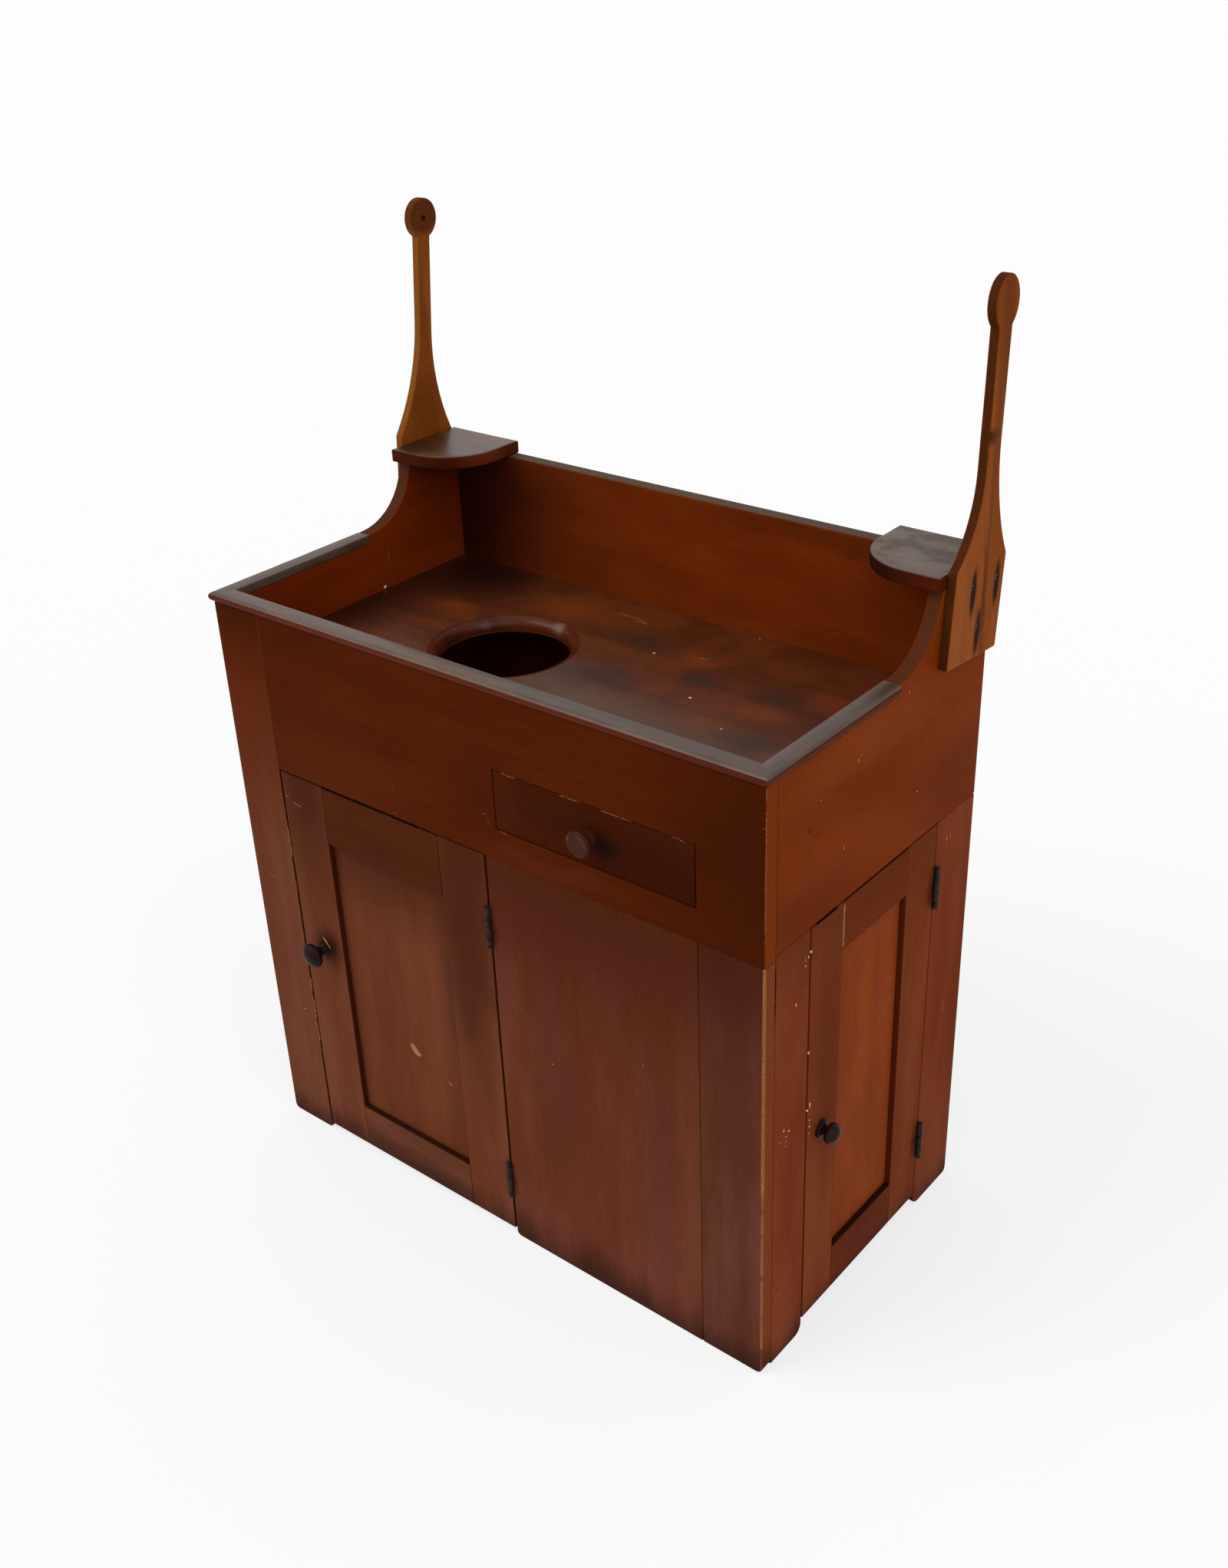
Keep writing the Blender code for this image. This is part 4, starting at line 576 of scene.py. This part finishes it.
def planed_rim(name, outward, mitres, ends, seed, materials):
    """A rim strip: its round-nosed section carried along its outer line, with mitred ends.

    A point of the section lies in from the outer line by u and up by v, and an end is cut back by u
    times its mitre. Three slow waves, still at both ends, lower the top and draw in the nose by up to a
    quarter of a millimetre, as planing by hand and wear do.
    """
    low, high = (np.array(corner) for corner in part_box(name))
    thick = high[2] - low[2]
    across = int(np.argmax(np.abs(outward)))
    width = (high - low)[across]
    outer = high[across] if outward[across] > 0 else low[across]
    nose, inner, deepest_wave = 0.0058, 0.0014, 0.00025
    section = np.concatenate([quarter((nose, thick - nose), nose, 180, 90, 9),
                              quarter((width - inner, thick - inner), inner, 90, 0, 4),
                              quarter((width - inner, inner), inner, 0, -90, 4),
                              quarter((nose, nose), nose, 270, 180, 7)])
    share = np.linspace(0, 1, 81)[:, None]
    first = ends[0] + mitres[0] * section[:, 0]
    along = first + (ends[1] - mitres[1] * section[:, 0] - first) * share
    waves = sum(np.sin(along * pitch + seed * shift) for pitch, shift in ((21, 1.0), (47, 2.3), (90, 4.1)))
    worn = deepest_wave * (np.abs(waves) / 3 * np.sin(np.pi * share) ** 0.5)
    rings = np.empty((*along.shape, 3))
    rings[..., 1 - across] = along
    rings[..., across] = outer - outward[across] * (section[:, 0] + worn * (section[:, 0] < width / 2))
    rings[..., 2] = low[2] + section[:, 1] - worn * (section[:, 1] > thick / 2)
    # The nose's front, up to its rubbed shoulder, and the underside have the second material
    order, shoulder_at, underside_at = np.arange(len(section)), 3, 16
    numbers = ((order < shoulder_at) | (order >= underside_at)).astype(int)
    obj = skin(name + "_planed", rings, "case", materials, numbers)
    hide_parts(name)


front_low, front_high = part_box("rim_front")
outer_left, outer_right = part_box("rim_left")[0].x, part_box("rim_right")[1].x
mitre = (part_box("rim_left")[1].x - outer_left) / (front_high.y - front_low.y)
# The side strips stop a tenth of a millimetre short of the front line, so that no two faces coincide
joint_gap = 0.0001
side_ends = front_low.y + joint_gap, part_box("rim_left")[1].y
# The nose's shoulder is worn pale in a thin broken line
worn_line, shoulder_in, line_height, thin = "#6e5340", 0.0034, RIM_TOP - 0.0006, 0.0009
front_lines = [(worn_line, (0.0, front_low.y + shoulder_in, line_height), (0.42, thin, thin), 0.55)]
side_lines = [(worn_line, (x, -0.08, line_height), (thin, 0.14, thin), 0.55)
              for x in (outer_right - shoulder_in, outer_left + shoulder_in)]


def rim_finishes(top, nose, grain, seeds, lines):
    """The two finishes of a rim: its rubbed and dusty top, whose grey-brown tone is partly painted sheen, and
    its stained nose with the pale lines.
    """
    # The top's grey-brown tones are partly painted sheen
    return [stained_pine("rubbed pine, " + top, grain, ("#49362a", "#574438", "#35221a"), seeds[0],
                         specular=0.34, rough=(0.32, 0.46), flecks=0.12, figure=0.6,
                         cloud_size=(111.1, 33.33), cloud_range=(0.42, 0.58)),
            stained_pine("rubbed pine, " + nose, grain, ("#55240f", "#46190a", "#341208"), seeds[1],
                         specular=0.04, edges=lines)]


planed_rim("rim_front", (0, -1, 0), (mitre, mitre), (outer_left, outer_right), 1.0,
           rim_finishes("front rim", "front rim nose", "x", (12.0, 33.0), front_lines))
side_rims = rim_finishes("side rims", "side rim noses", "y", (13.0, 34.0), side_lines)
planed_rim("rim_left", (-1, 0, 0), (1 / mitre, 0), side_ends, 2.0, side_rims)
planed_rim("rim_right", (1, 0, 0), (1 / mitre, 0), side_ends, 4.0, side_rims)


def corner_shelf(name, materials):
    """A corner shelf: its outline, one corner rounded, carried round a soft edge over its thickness.

    Each ring is the outline drawn in towards the shelf's middle, at one height: the top's rings, an arc
    of 2 mm down to the edge, an arc below and the underside's rings.
    """
    low, high = (np.array(corner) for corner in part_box(name))
    width, depth, thick = high - low
    radius, soft, rubbed_bands = 0.075, 0.0020, 2
    outline = np.concatenate([
        quarter((width - radius, radius), radius, -90, 0, 41),
        np.stack([np.full(12, width), np.linspace(radius, depth, 13)[1:]], axis=-1),
        np.stack([np.linspace(width, 0, 25)[1:], np.full(24, depth)], axis=-1),
        np.stack([np.zeros(24), np.linspace(depth, 0, 25)[1:]], axis=-1),
        np.stack([np.linspace(0, width - radius, 12)[1:-1], np.zeros(10)], axis=-1)])
    middle = outline.mean(axis=0)
    out = outline - middle
    out /= np.linalg.norm(out, axis=1)[:, None]
    turn = np.radians(np.linspace(0, 90, 6))
    inset = np.concatenate([soft * (1 - np.sin(turn)), soft * (1 - np.cos(turn))])
    height = np.concatenate([thick - soft * (1 - np.cos(turn)), soft * (1 - np.sin(turn))])
    share = np.array([0.08, 0.35, 0.65, 0.9])
    rings = np.empty((len(inset) + 2 * len(share), len(outline), 3))
    edge = outline - out * inset[:, None, None]
    flat = middle + (edge[0] - middle) * share[:, None, None]
    rings[..., :2] = np.concatenate([flat, edge, flat[::-1]])
    heights = np.concatenate([np.full(len(share), thick), height, np.zeros(len(share))])
    rings[..., 2] = low[2] + heights[:, None]
    # The right shelf is the left one mirrored
    mirrored = name.endswith("right")
    rings[..., 0] = high[0] - rings[..., 0] if mirrored else rings[..., 0] + low[0]
    rings[..., 1] += low[1]
    # The top's finish goes a little way down the soft edge, and the second one has the rest
    numbers = (np.arange(len(rings) - 1) >= len(share) + rubbed_bands).astype(int)[:, None]
    obj = skin(name + "_planed", rings, "case", materials, numbers)
    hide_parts(name)


left_shelf_rust = [on_shelf(-0.352, 0.2218, 0.010, 0.0035, 12), on_shelf(-0.331, 0.2200, 0.009, 0.0028, -14),
                   on_shelf(-0.315, 0.2185, 0.006, 0.0024, 5)]
corner_shelf("shelf_left", [
    stained_pine(
        "rubbed pine, left shelf", "x", ("#45280f", "#563a1c", "#261105"), 14.0, specular=0.36,
        rough=(0.28, 0.42), figure=0.7, flecks=0.1,
        marks=[("#6a3218", left_shelf_rust)], cloud_size=(83.33, 33.33), cloud_range=(0.42, 0.58),
        # Painted shade at the shelf's left end, by the wall
        zones=[("#22120a", 0.8, [soft_spot(LEFT, 0.13, SHELF_TOP, 0.07, 0.06, 0.1)])]),
    stained_pine(
        "rubbed pine, left shelf edge", "x", ("#431806", "#3a1404", "#2a0d03"), 30.0, specular=0.02,
        zones=[("#662c12", 0.8, [soft_spot(LEFT + 0.118, 0.17, SHELF_TOP, 0.04, 0.05, 0.1)])])])
right_shelf_stains = [on_shelf(*place, deep=0.1) for place in (
    (0.330, 0.188, 0.026, 0.015, 20), (0.352, 0.172, 0.024, 0.011, -35), (0.374, 0.160, 0.016, 0.012, -20),
    (0.345, 0.208, 0.024, 0.010, 5), (0.315, 0.160, 0.012, 0.008, 40))]
corner_shelf("shelf_right", [
    stained_pine(
        "rubbed pine, right shelf", "x", ("#574437", "#412b1e", "#3c281c"), 15.0, specular=0.26,
        rough=(0.34, 0.5), figure=0.6, flecks=0.24,
        zones=[("#2e170b", 0.8, right_shelf_stains)], cloud_size=(41.67, 25), cloud_range=(0.46, 0.6)),
    stained_pine(
        "rubbed pine, right shelf edge", "x", ("#4a1905", "#3e1404", "#2e0d03"), 31.0, specular=0.02,
        zones=[("#2b1009", 1.0, [soft_spot(INNER_RIGHT - 0.085, 0.13, SHELF_TOP, 0.1, 0.07, 0.1)])])])


def tray_floor(name, materials):
    """The tray's floor: rings that pass from the basin hole's soft lip out to the four walls and back.

    A ring is a circle for the hole and a rectangle for the walls, with each point on the same ray from
    the hole's centre, and the rings between are weighted means of the two. The lip falls from the flat
    along a quarter of an ellipse, 13 mm wide and as deep as the board less 4 mm.
    """
    low, high = (np.array(corner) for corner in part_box(name))
    gap, lip_foot, hole_foot = 0.0003, 0.004, 0.002
    wall = np.array([INNER_LEFT, INNER_FRONT]) + gap, np.array([INNER_RIGHT, INNER_BACK]) - gap
    from_left, from_front = 0.277, 0.2185
    centre = np.array([LEFT + from_left, FRONT + from_front])
    lip_end, hole_radius = 0.0957, 0.0827
    corners = np.array([(wall[i][0], wall[j][1]) for i, j in ((0, 0), (1, 0), (1, 1), (0, 1))]) - centre
    angle = np.sort(np.concatenate([np.linspace(-np.pi, np.pi, 192, endpoint=False),
                                    np.arctan2(corners[:, 1], corners[:, 0])]))
    ray = np.stack([np.cos(angle), np.sin(angle)], axis=-1)
    limits = np.where(ray > 0, wall[1] - centre, centre - wall[0])
    reach = (limits / np.maximum(np.abs(ray), 1e-9)).min(axis=1)
    turn = np.radians(np.linspace(0, 90, 11))
    depth = high[2] - low[2] - lip_foot
    lip_radius = hole_radius + (lip_end - hole_radius) * (1 - np.cos(turn))
    lip_height = high[2] - depth * (1 - np.sin(turn))
    share = np.array([0.02, 0.08, 0.2, 0.4, 0.6, 0.8, 1.0])
    far = lip_end + (reach - lip_end) * share[:, None]
    hole = np.full((1, len(angle)), hole_radius)
    radii = np.concatenate([hole, lip_radius[:, None] + 0 * reach, far, far[-1:], hole])
    heights = np.concatenate([[low[2] + hole_foot], lip_height, np.full(len(share), high[2]), [low[2]],
                              [low[2]]])
    rings = np.empty((len(radii), len(angle), 3))
    rings[..., :2] = centre + radii[..., None] * ray
    rings[..., 2] = heights[:, None]
    numbers = (np.arange(len(radii)) < len(turn)).astype(int)[:, None]
    obj = skin(name + "_scraped", rings, "case", materials, numbers, closed=True)
    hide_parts(name)


tray_floor("well_floor", [
    stained_pine(
        "stained pine, tray floor", "x", ("#5c2b12", "#4a200b", "#34190d"), 10.0, specular=0.18,
        rough=(0.3, 0.46), figure=0.4, flecks=0.16, cloud_size=(76.92, 66.67),
        # Painted shade along the left wall and towards the back-left corner, where the tray gets little light
        zones=[("#2a1209", 0.9, [tray_area(INNER_LEFT, 0.00, 0.13, 0.22)]),
               ("#1d0b05", 0.95, [tray_area(-0.32, 0.17, 0.17, 0.14)]),
               ("#6a2f12", 0.8, [tray_area(-0.14, 0.147, 0.085, 0.04), tray_area(-0.275, 0.07, 0.05, 0.03),
                                 tray_area(0.096, 0.113, 0.05, 0.03), tray_area(0.236, 0.039, 0.055, 0.035),
                                 tray_area(0.275, 0.1, 0.05, 0.04)]),
               # Grey areas near the front and beside the hole: dust, and painted sheen
               ("#564033", 0.65, [tray_area(0.07, -0.065, 0.34, 0.08)]),
               ("#523b2f", 0.6, [tray_area(-0.035, -0.005, 0.09, 0.06)]),
               ("#2f2018", 0.78, [tray_area(0.017, 0.006, 0.095, 0.052),
                                  tray_area(-0.008, 0.114, 0.08, 0.045),
                                  tray_area(0.124, 0.07, 0.045, 0.026), tray_area(0.225, 0.078, 0.07, 0.044),
                                  tray_area(0.262, -0.03, 0.07, 0.032)])],
        marks=[("#cfc4a8", [on_tray(0.0295, 0.0972, 0.0022, 0.0015), on_tray(0.1395, 0.0229, 0.0026, 0.002),
                            on_tray(0.2157, -0.0211, 0.0018, 0.0012),
                            on_tray(0.1115, 0.2057, 0.0014, 0.001)]),
               ("#8d6a52", [on_tray(-0.062, 0.169, 0.03, 0.0005, -2),
                            on_tray(-0.04, 0.163, 0.013, 0.0007, -4),
                            on_tray(0.09, 0.118, 0.01, 0.0005, 10)])]),
    stained_pine(
        "rubbed pine, hole lip with painted highlights", "x", ("#52230f", "#42190a", "#2c0f07"), 32.0, specular=0.12,
        rough=(0.22, 0.34), figure=0.4,
        # Two pale spots on the lip are painted highlights
        zones=[("#7d6252", 0.7, [soft_spot(-0.204, 0.048, TRAY_TOP - 0.005, 0.02, 0.018, 0.02),
                                 soft_spot(-0.125, 0.094, TRAY_TOP - 0.005, 0.02, 0.018, 0.02)])])])


def turned_knob(name, body, outward, material, face_at, rise, bead, neck, neck_at, foot, foot_end):
    """A knob turned on a lathe: its profile carried round its axis in 72 steps.

    Counted from the board, face_at is where the face's rim stands, neck_at where the neck is and foot_end
    where the foot ends. rise is the face's own rise, and bead, neck and foot are their radii. From the
    inner end the profile is the spindle, the foot with an eased edge, a neck that narrows along half a
    cosine and opens along a quarter of an ellipse, and a head. A domed head is a half-round bead below
    its widest ring and a quarter of an ellipse above it, and a hollow one is the whole bead and a parabola.
    """
    low, high = (np.array(corner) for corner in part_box(name))
    across = int(np.argmax(np.abs(outward)))
    sides = [axis for axis in range(3) if axis != across]
    sign, centre = outward[across], (low + high) / 2
    tip = high[across] if sign > 0 else low[across]
    board = tip - sign * (face_at + max(rise, 0.0))
    inner = (high - low)[across] - face_at - max(rise, 0.0)
    rim = (high - low)[sides[0]] / 2 - bead
    spindle, ease, gap = 0.006, 0.0006, 0.0003
    fall = (1 - np.cos(np.linspace(0, np.pi, 12))) / 2
    spread = np.radians(np.linspace(0, 90, 14))[1:]
    if rise > 0:
        dome = np.radians(np.linspace(90, 3, 24))[1:]
        face = np.stack([face_at - bead + (bead + rise) * np.cos(dome), (rim + bead) * np.sin(dome)], axis=-1)
    else:
        shrink = np.linspace(1, 0.04, 14)[1:]
        face = np.stack([face_at + rise * (1 - shrink ** 2), rim * shrink], axis=-1)
    profile = np.concatenate([
        [[-inner, spindle], [gap, spindle], [gap, foot]],
        quarter((foot_end - ease, foot - ease), ease, 90, 0),
        np.stack([foot_end + (neck_at - foot_end) * np.linspace(0, 1, 12),
                  foot - ease + (neck - foot + ease) * fall], axis=-1)[1:],
        np.stack([neck_at + (face_at - 2 * bead - neck_at) * np.sin(spread),
                  rim - (rim - neck) * np.cos(spread)], axis=-1),
        quarter((face_at - bead, rim), bead, 180, 90 if rise > 0 else 0, 17)[1:], face])
    angle = np.linspace(0, 2 * np.pi, 72, endpoint=False)
    rings = np.empty((len(profile), len(angle), 3))
    rings[..., across] = board + sign * profile[:, :1]
    rings[..., sides[0]] = centre[sides[0]] + profile[:, 1:] * np.cos(angle)
    rings[..., sides[1]] = centre[sides[1]] + profile[:, 1:] * np.sin(angle)
    obj = skin(name + "_turned", rings, body, [material], 0)
    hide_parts(name)


def turned_wood(name, grain, tones, seed, rough, zones=()):
    """Close-grained hardwood, turned, stained and darkened by hands: fine rings under a satin polish."""
    return stained_pine(name, grain, tones, seed, specular=0.06, rough=rough, figure=0.3, zones=zones)


turned_knob("drawer_knob", "drawer", (0, -1, 0), turned_wood(
    "turned wood, drawer knob", "y", ("#43200f", "#39190b", "#2b1007"), 27.0, (0.24, 0.36),
    # A pale spot at the upper left of the rim is a painted highlight
    [("#8a5b48", 0.8, [soft_spot(pull_low.x + 0.006, pull_low.y + 0.002, pull_high.z - 0.003,
                                 0.007, 0.012, 0.005)])]),
    face_at=0.0225, rise=-0.0018, bead=0.0034, neck=0.0060, neck_at=0.0080, foot=0.0085, foot_end=0.0015)
turned_knob("front_door_knob", "front_door_latch", (0, -1, 0), turned_wood(
    "turned wood, front door knob", "y", ("#231210", "#1b0e0b", "#130807"), 28.0, (0.28, 0.40)),
    face_at=0.0255, rise=0.0040, bead=0.0050, neck=0.0065, neck_at=0.0075, foot=0.0105, foot_end=0.0018)
turned_knob("side_door_knob", "side_door_latch", (1, 0, 0), turned_wood(
    "turned wood, side door knob", "x", ("#2a150f", "#20100b", "#150806"), 29.0, (0.20, 0.30)),
    face_at=0.0195, rise=0.0055, bead=0.0050, neck=0.0052, neck_at=0.0070, foot=0.0115, foot_end=0.0040)


def aged_iron(name, bright, dark, rust, seed):
    """Wrought iron, black with age: patches of brown rust 3 to 8 mm wide over a dull dark surface."""
    mat, tree, shader = new_finish(name)
    place = add(tree, "TexCoord").outputs["Object"]
    moved = add(tree, "Mapping", Vector=place, Location=(seed, seed, seed))
    patch = add(tree, "TexNoise", Vector=moved.outputs[0], Scale=scale_of(5.882), Detail=5.0,
                Roughness=0.6).outputs[0]
    colour = tinted(tree, linear(dark), linear(bright), patch, 0.40, 0.60)
    colour = tinted(tree, colour, linear(rust), patch, 0.58, 0.68)
    tree.links.new(colour, shader.inputs["Base Color"])
    shader.inputs["Metallic"].default_value = 0.3
    shader.inputs["Specular IOR Level"].default_value = 0.12
    rough = add(tree, "MapRange", Value=patch, From_Min=0.3, From_Max=0.7, To_Min=0.45, To_Max=0.75)
    tree.links.new(rough.outputs[0], shader.inputs["Roughness"])
    bump = add(tree, "Bump", Height=patch, Strength=0.5, Distance=0.0004)
    tree.links.new(bump.outputs[0], shader.inputs["Normal"])
    return mat


hinge_iron = aged_iron("black iron, hinges", "#3b2c28", "#1c1311", "#3a1d12", 3.0)
finish_nodes(hinge_iron, *[name for name in nodes if "hinge_pin" in name or "_leaf" in name])
finish_nodes(aged_iron("rusted iron, arm screws", "#4b3830", "#22150f", "#55301b", 5.0),
             *[name for name in nodes if name.startswith("arm_screw")])


def leaf_screws(hinge, leaf, body, across, side):
    """Three slotted screw heads on a hinge leaf, each a low dome on a grid of two parameters.

    The grid's square is drawn to a disc of 2.6 mm radius by the even mapping of squares to discs. The
    dome falls as the square of the distance from its middle, and a slot runs between two grid lines.
    side is the side of the pin, along the axis across, on which the leaf lies.
    """
    low, high = (np.array(corner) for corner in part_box(hinge + "_hinge_pin"))
    axis = (low + high) / 2
    run = 1 - across
    inward = 1.0 if run == 1 else -1.0
    spacing, from_pin, radius = 0.019, 0.0113, 0.0026
    # Distances from the hinge's middle plane: the leaf's face, and how far down a head is sunk
    leaf_face, sunk = 0.0003, 0.0009
    dome_height, slot_depth, slot_half, slot_lip = 0.0002, 0.0007, 0.11, 0.15
    line = np.sort(np.concatenate([np.linspace(-1, 1, 13), [-slot_half, -slot_lip, slot_half, slot_lip]]))
    u, v = np.meshgrid(np.linspace(-1, 1, 13), line)
    flat = np.stack([u * np.sqrt(1 - v ** 2 / 2), v * np.sqrt(1 - u ** 2 / 2)], axis=-1)
    dome = dome_height * (1 - (flat ** 2).sum(axis=-1)) - slot_depth * (np.abs(v) <= slot_half)
    rows, columns = u.shape
    edge = np.concatenate([np.arange(columns), np.arange(1, rows) * columns + columns - 1,
                           (rows - 1) * columns + np.arange(columns - 1)[::-1],
                           np.arange(1, rows - 1)[::-1] * columns])
    shape = bmesh.new()
    for step in (-spacing, 0.0, spacing):
        place = np.empty((rows, columns, 3))
        place[..., across] = axis[across] + side * (leaf_face - dome)
        place[..., run] = axis[run] + inward * from_pin + radius * flat[..., 0]
        place[..., 2] = axis[2] + step + radius * flat[..., 1]
        under = place.reshape(-1, 3)[edge]
        under[:, across] = axis[across] + side * sunk
        points = [shape.verts.new(point) for point in place.reshape(-1, 3).tolist() + under.tolist()]
        index = np.arange(rows * columns).reshape(rows, columns)
        quads = np.stack([index[:-1, :-1], index[:-1, 1:], index[1:, 1:], index[1:, :-1]], axis=-1)
        skirt = rows * columns + np.arange(len(edge))
        walls = np.stack([edge, np.roll(edge, -1), np.roll(skirt, -1), skirt], axis=-1)
        for corners in (*quads.reshape(-1, 4), *walls, skirt):
            shape.faces.new([points[corner] for corner in corners])
    bmesh.ops.recalc_face_normals(shape, faces=shape.faces)
    mesh = bpy.data.meshes.new("%s_%s_screws" % (hinge, leaf))
    shape.to_mesh(mesh)
    shape.free()
    mesh.materials.append(hinge_iron)
    obj = placed(mesh.name, mesh)
    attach(obj, body)


for door, across in (("front_door", 0), ("side_door", 1)):
    for height in ("upper", "lower"):
        leaf_screws("%s_%s" % (door, height), "case_leaf", "case", across, 1)
        leaf_screws("%s_%s" % (door, height), "door_leaf", door, across, -1)

# Floor, light and camera. The floor lies half a millimetre under the feet
far, below = 30, -0.0005
floor_mesh = bpy.data.meshes.new("studio floor")
floor_mesh.from_pydata([(-far, -far, below), (far, -far, below), (far, far, below), (-far, far, below)], [],
                       [(0, 1, 2, 3)])
floor = placed("studio_floor", floor_mesh)
paper, paper_tree, paper_shader = new_finish("white paper floor")
paper_shader.inputs["Base Color"].default_value = linear("#f6f6f6")
paper_shader.inputs["Roughness"].default_value = 0.9
paper_shader.inputs["Specular IOR Level"].default_value = 0.0
world = bpy.data.worlds.new("white studio")
world.use_nodes = True
bpy.context.scene.world = world
sky = world.node_tree


def direct_rays(tree):
    """1 for the rays that show the paper or the sky itself: to the camera, by gloss and through glass."""
    rays = add(tree, "LightPath").outputs
    shown = add(tree, "Math", {"operation": "MAXIMUM"}, in0=rays["Is Camera Ray"], in1=rays["Is Glossy Ray"])
    return add(tree, "Math", {"operation": "MAXIMUM"}, in0=shown.outputs[0],
               in1=rays["Is Transmission Ray"]).outputs[0]


# Where it is seen, the paper is mostly its own white, with a share of the light and shadow on it
own_white, studio_level = 0.72, 0.62
lifted = add(paper_tree, "Math", {"operation": "MULTIPLY"}, in0=direct_rays(paper_tree), in1=own_white)
white = add(paper_tree, "Emission", Color=(1, 1, 1, 1), Strength=1.0)
mixed = add(paper_tree, "MixShader", in0=lifted.outputs[0], in1=paper_shader.outputs[0],
            in2=white.outputs[0])
paper_tree.links.new(mixed.outputs[0], paper_tree.nodes["Material Output"].inputs["Surface"])
floor_mesh.materials.append(paper)
level = add(sky, "MapRange", Value=direct_rays(sky), To_Min=studio_level, To_Max=1.0)
sky.links.new(level.outputs[0], sky.nodes["Background"].inputs["Strength"])
sky.nodes["Background"].inputs["Color"].default_value = (1, 1, 1, 1)


def soft_sun(name, azimuth, height, strength, size):
    """A broad soft light that comes from an azimuth round the object and a height, both in degrees."""
    lamp = bpy.data.lights.new(name, "SUN")
    lamp.energy = strength
    lamp.angle = math.radians(size)
    obj = placed(name, lamp)
    a, h = math.radians(azimuth), math.radians(height)
    towards = Vector((math.sin(a) * math.cos(h), -math.cos(a) * math.cos(h), math.sin(h)))
    obj.rotation_euler = towards.to_track_quat("Z", "Y").to_euler()


soft_sun("key light", -38, 42, 1.15, 40)
soft_sun("side fill", 62, 38, 0.75, 60)

scene = bpy.context.scene
scene.view_settings.view_transform = "Standard"
# The lens, turn and place were fitted to the edges in the photograph
camera_data = bpy.data.cameras.new("camera")
camera_data.lens, camera_data.sensor_width = 38.37, 36
camera = placed("camera", camera_data)
scene.camera = camera
azimuth, pitch, roll = math.radians(39.99), math.radians(28.95), math.radians(-2.34)
level_share = math.cos(pitch)
forward = Vector((-math.sin(azimuth) * level_share, math.cos(azimuth) * level_share, -math.sin(pitch)))
level_right = Vector((math.cos(azimuth), math.sin(azimuth), 0))
level_up = level_right.cross(forward)
across = level_right * math.cos(roll) + level_up * math.sin(roll)
upward = level_up * math.cos(roll) - level_right * math.sin(roll)
view = Matrix((across, upward, -forward)).transposed().to_4x4()
view.translation = (1.18565, -1.367269, 1.5762)
camera.matrix_world = view
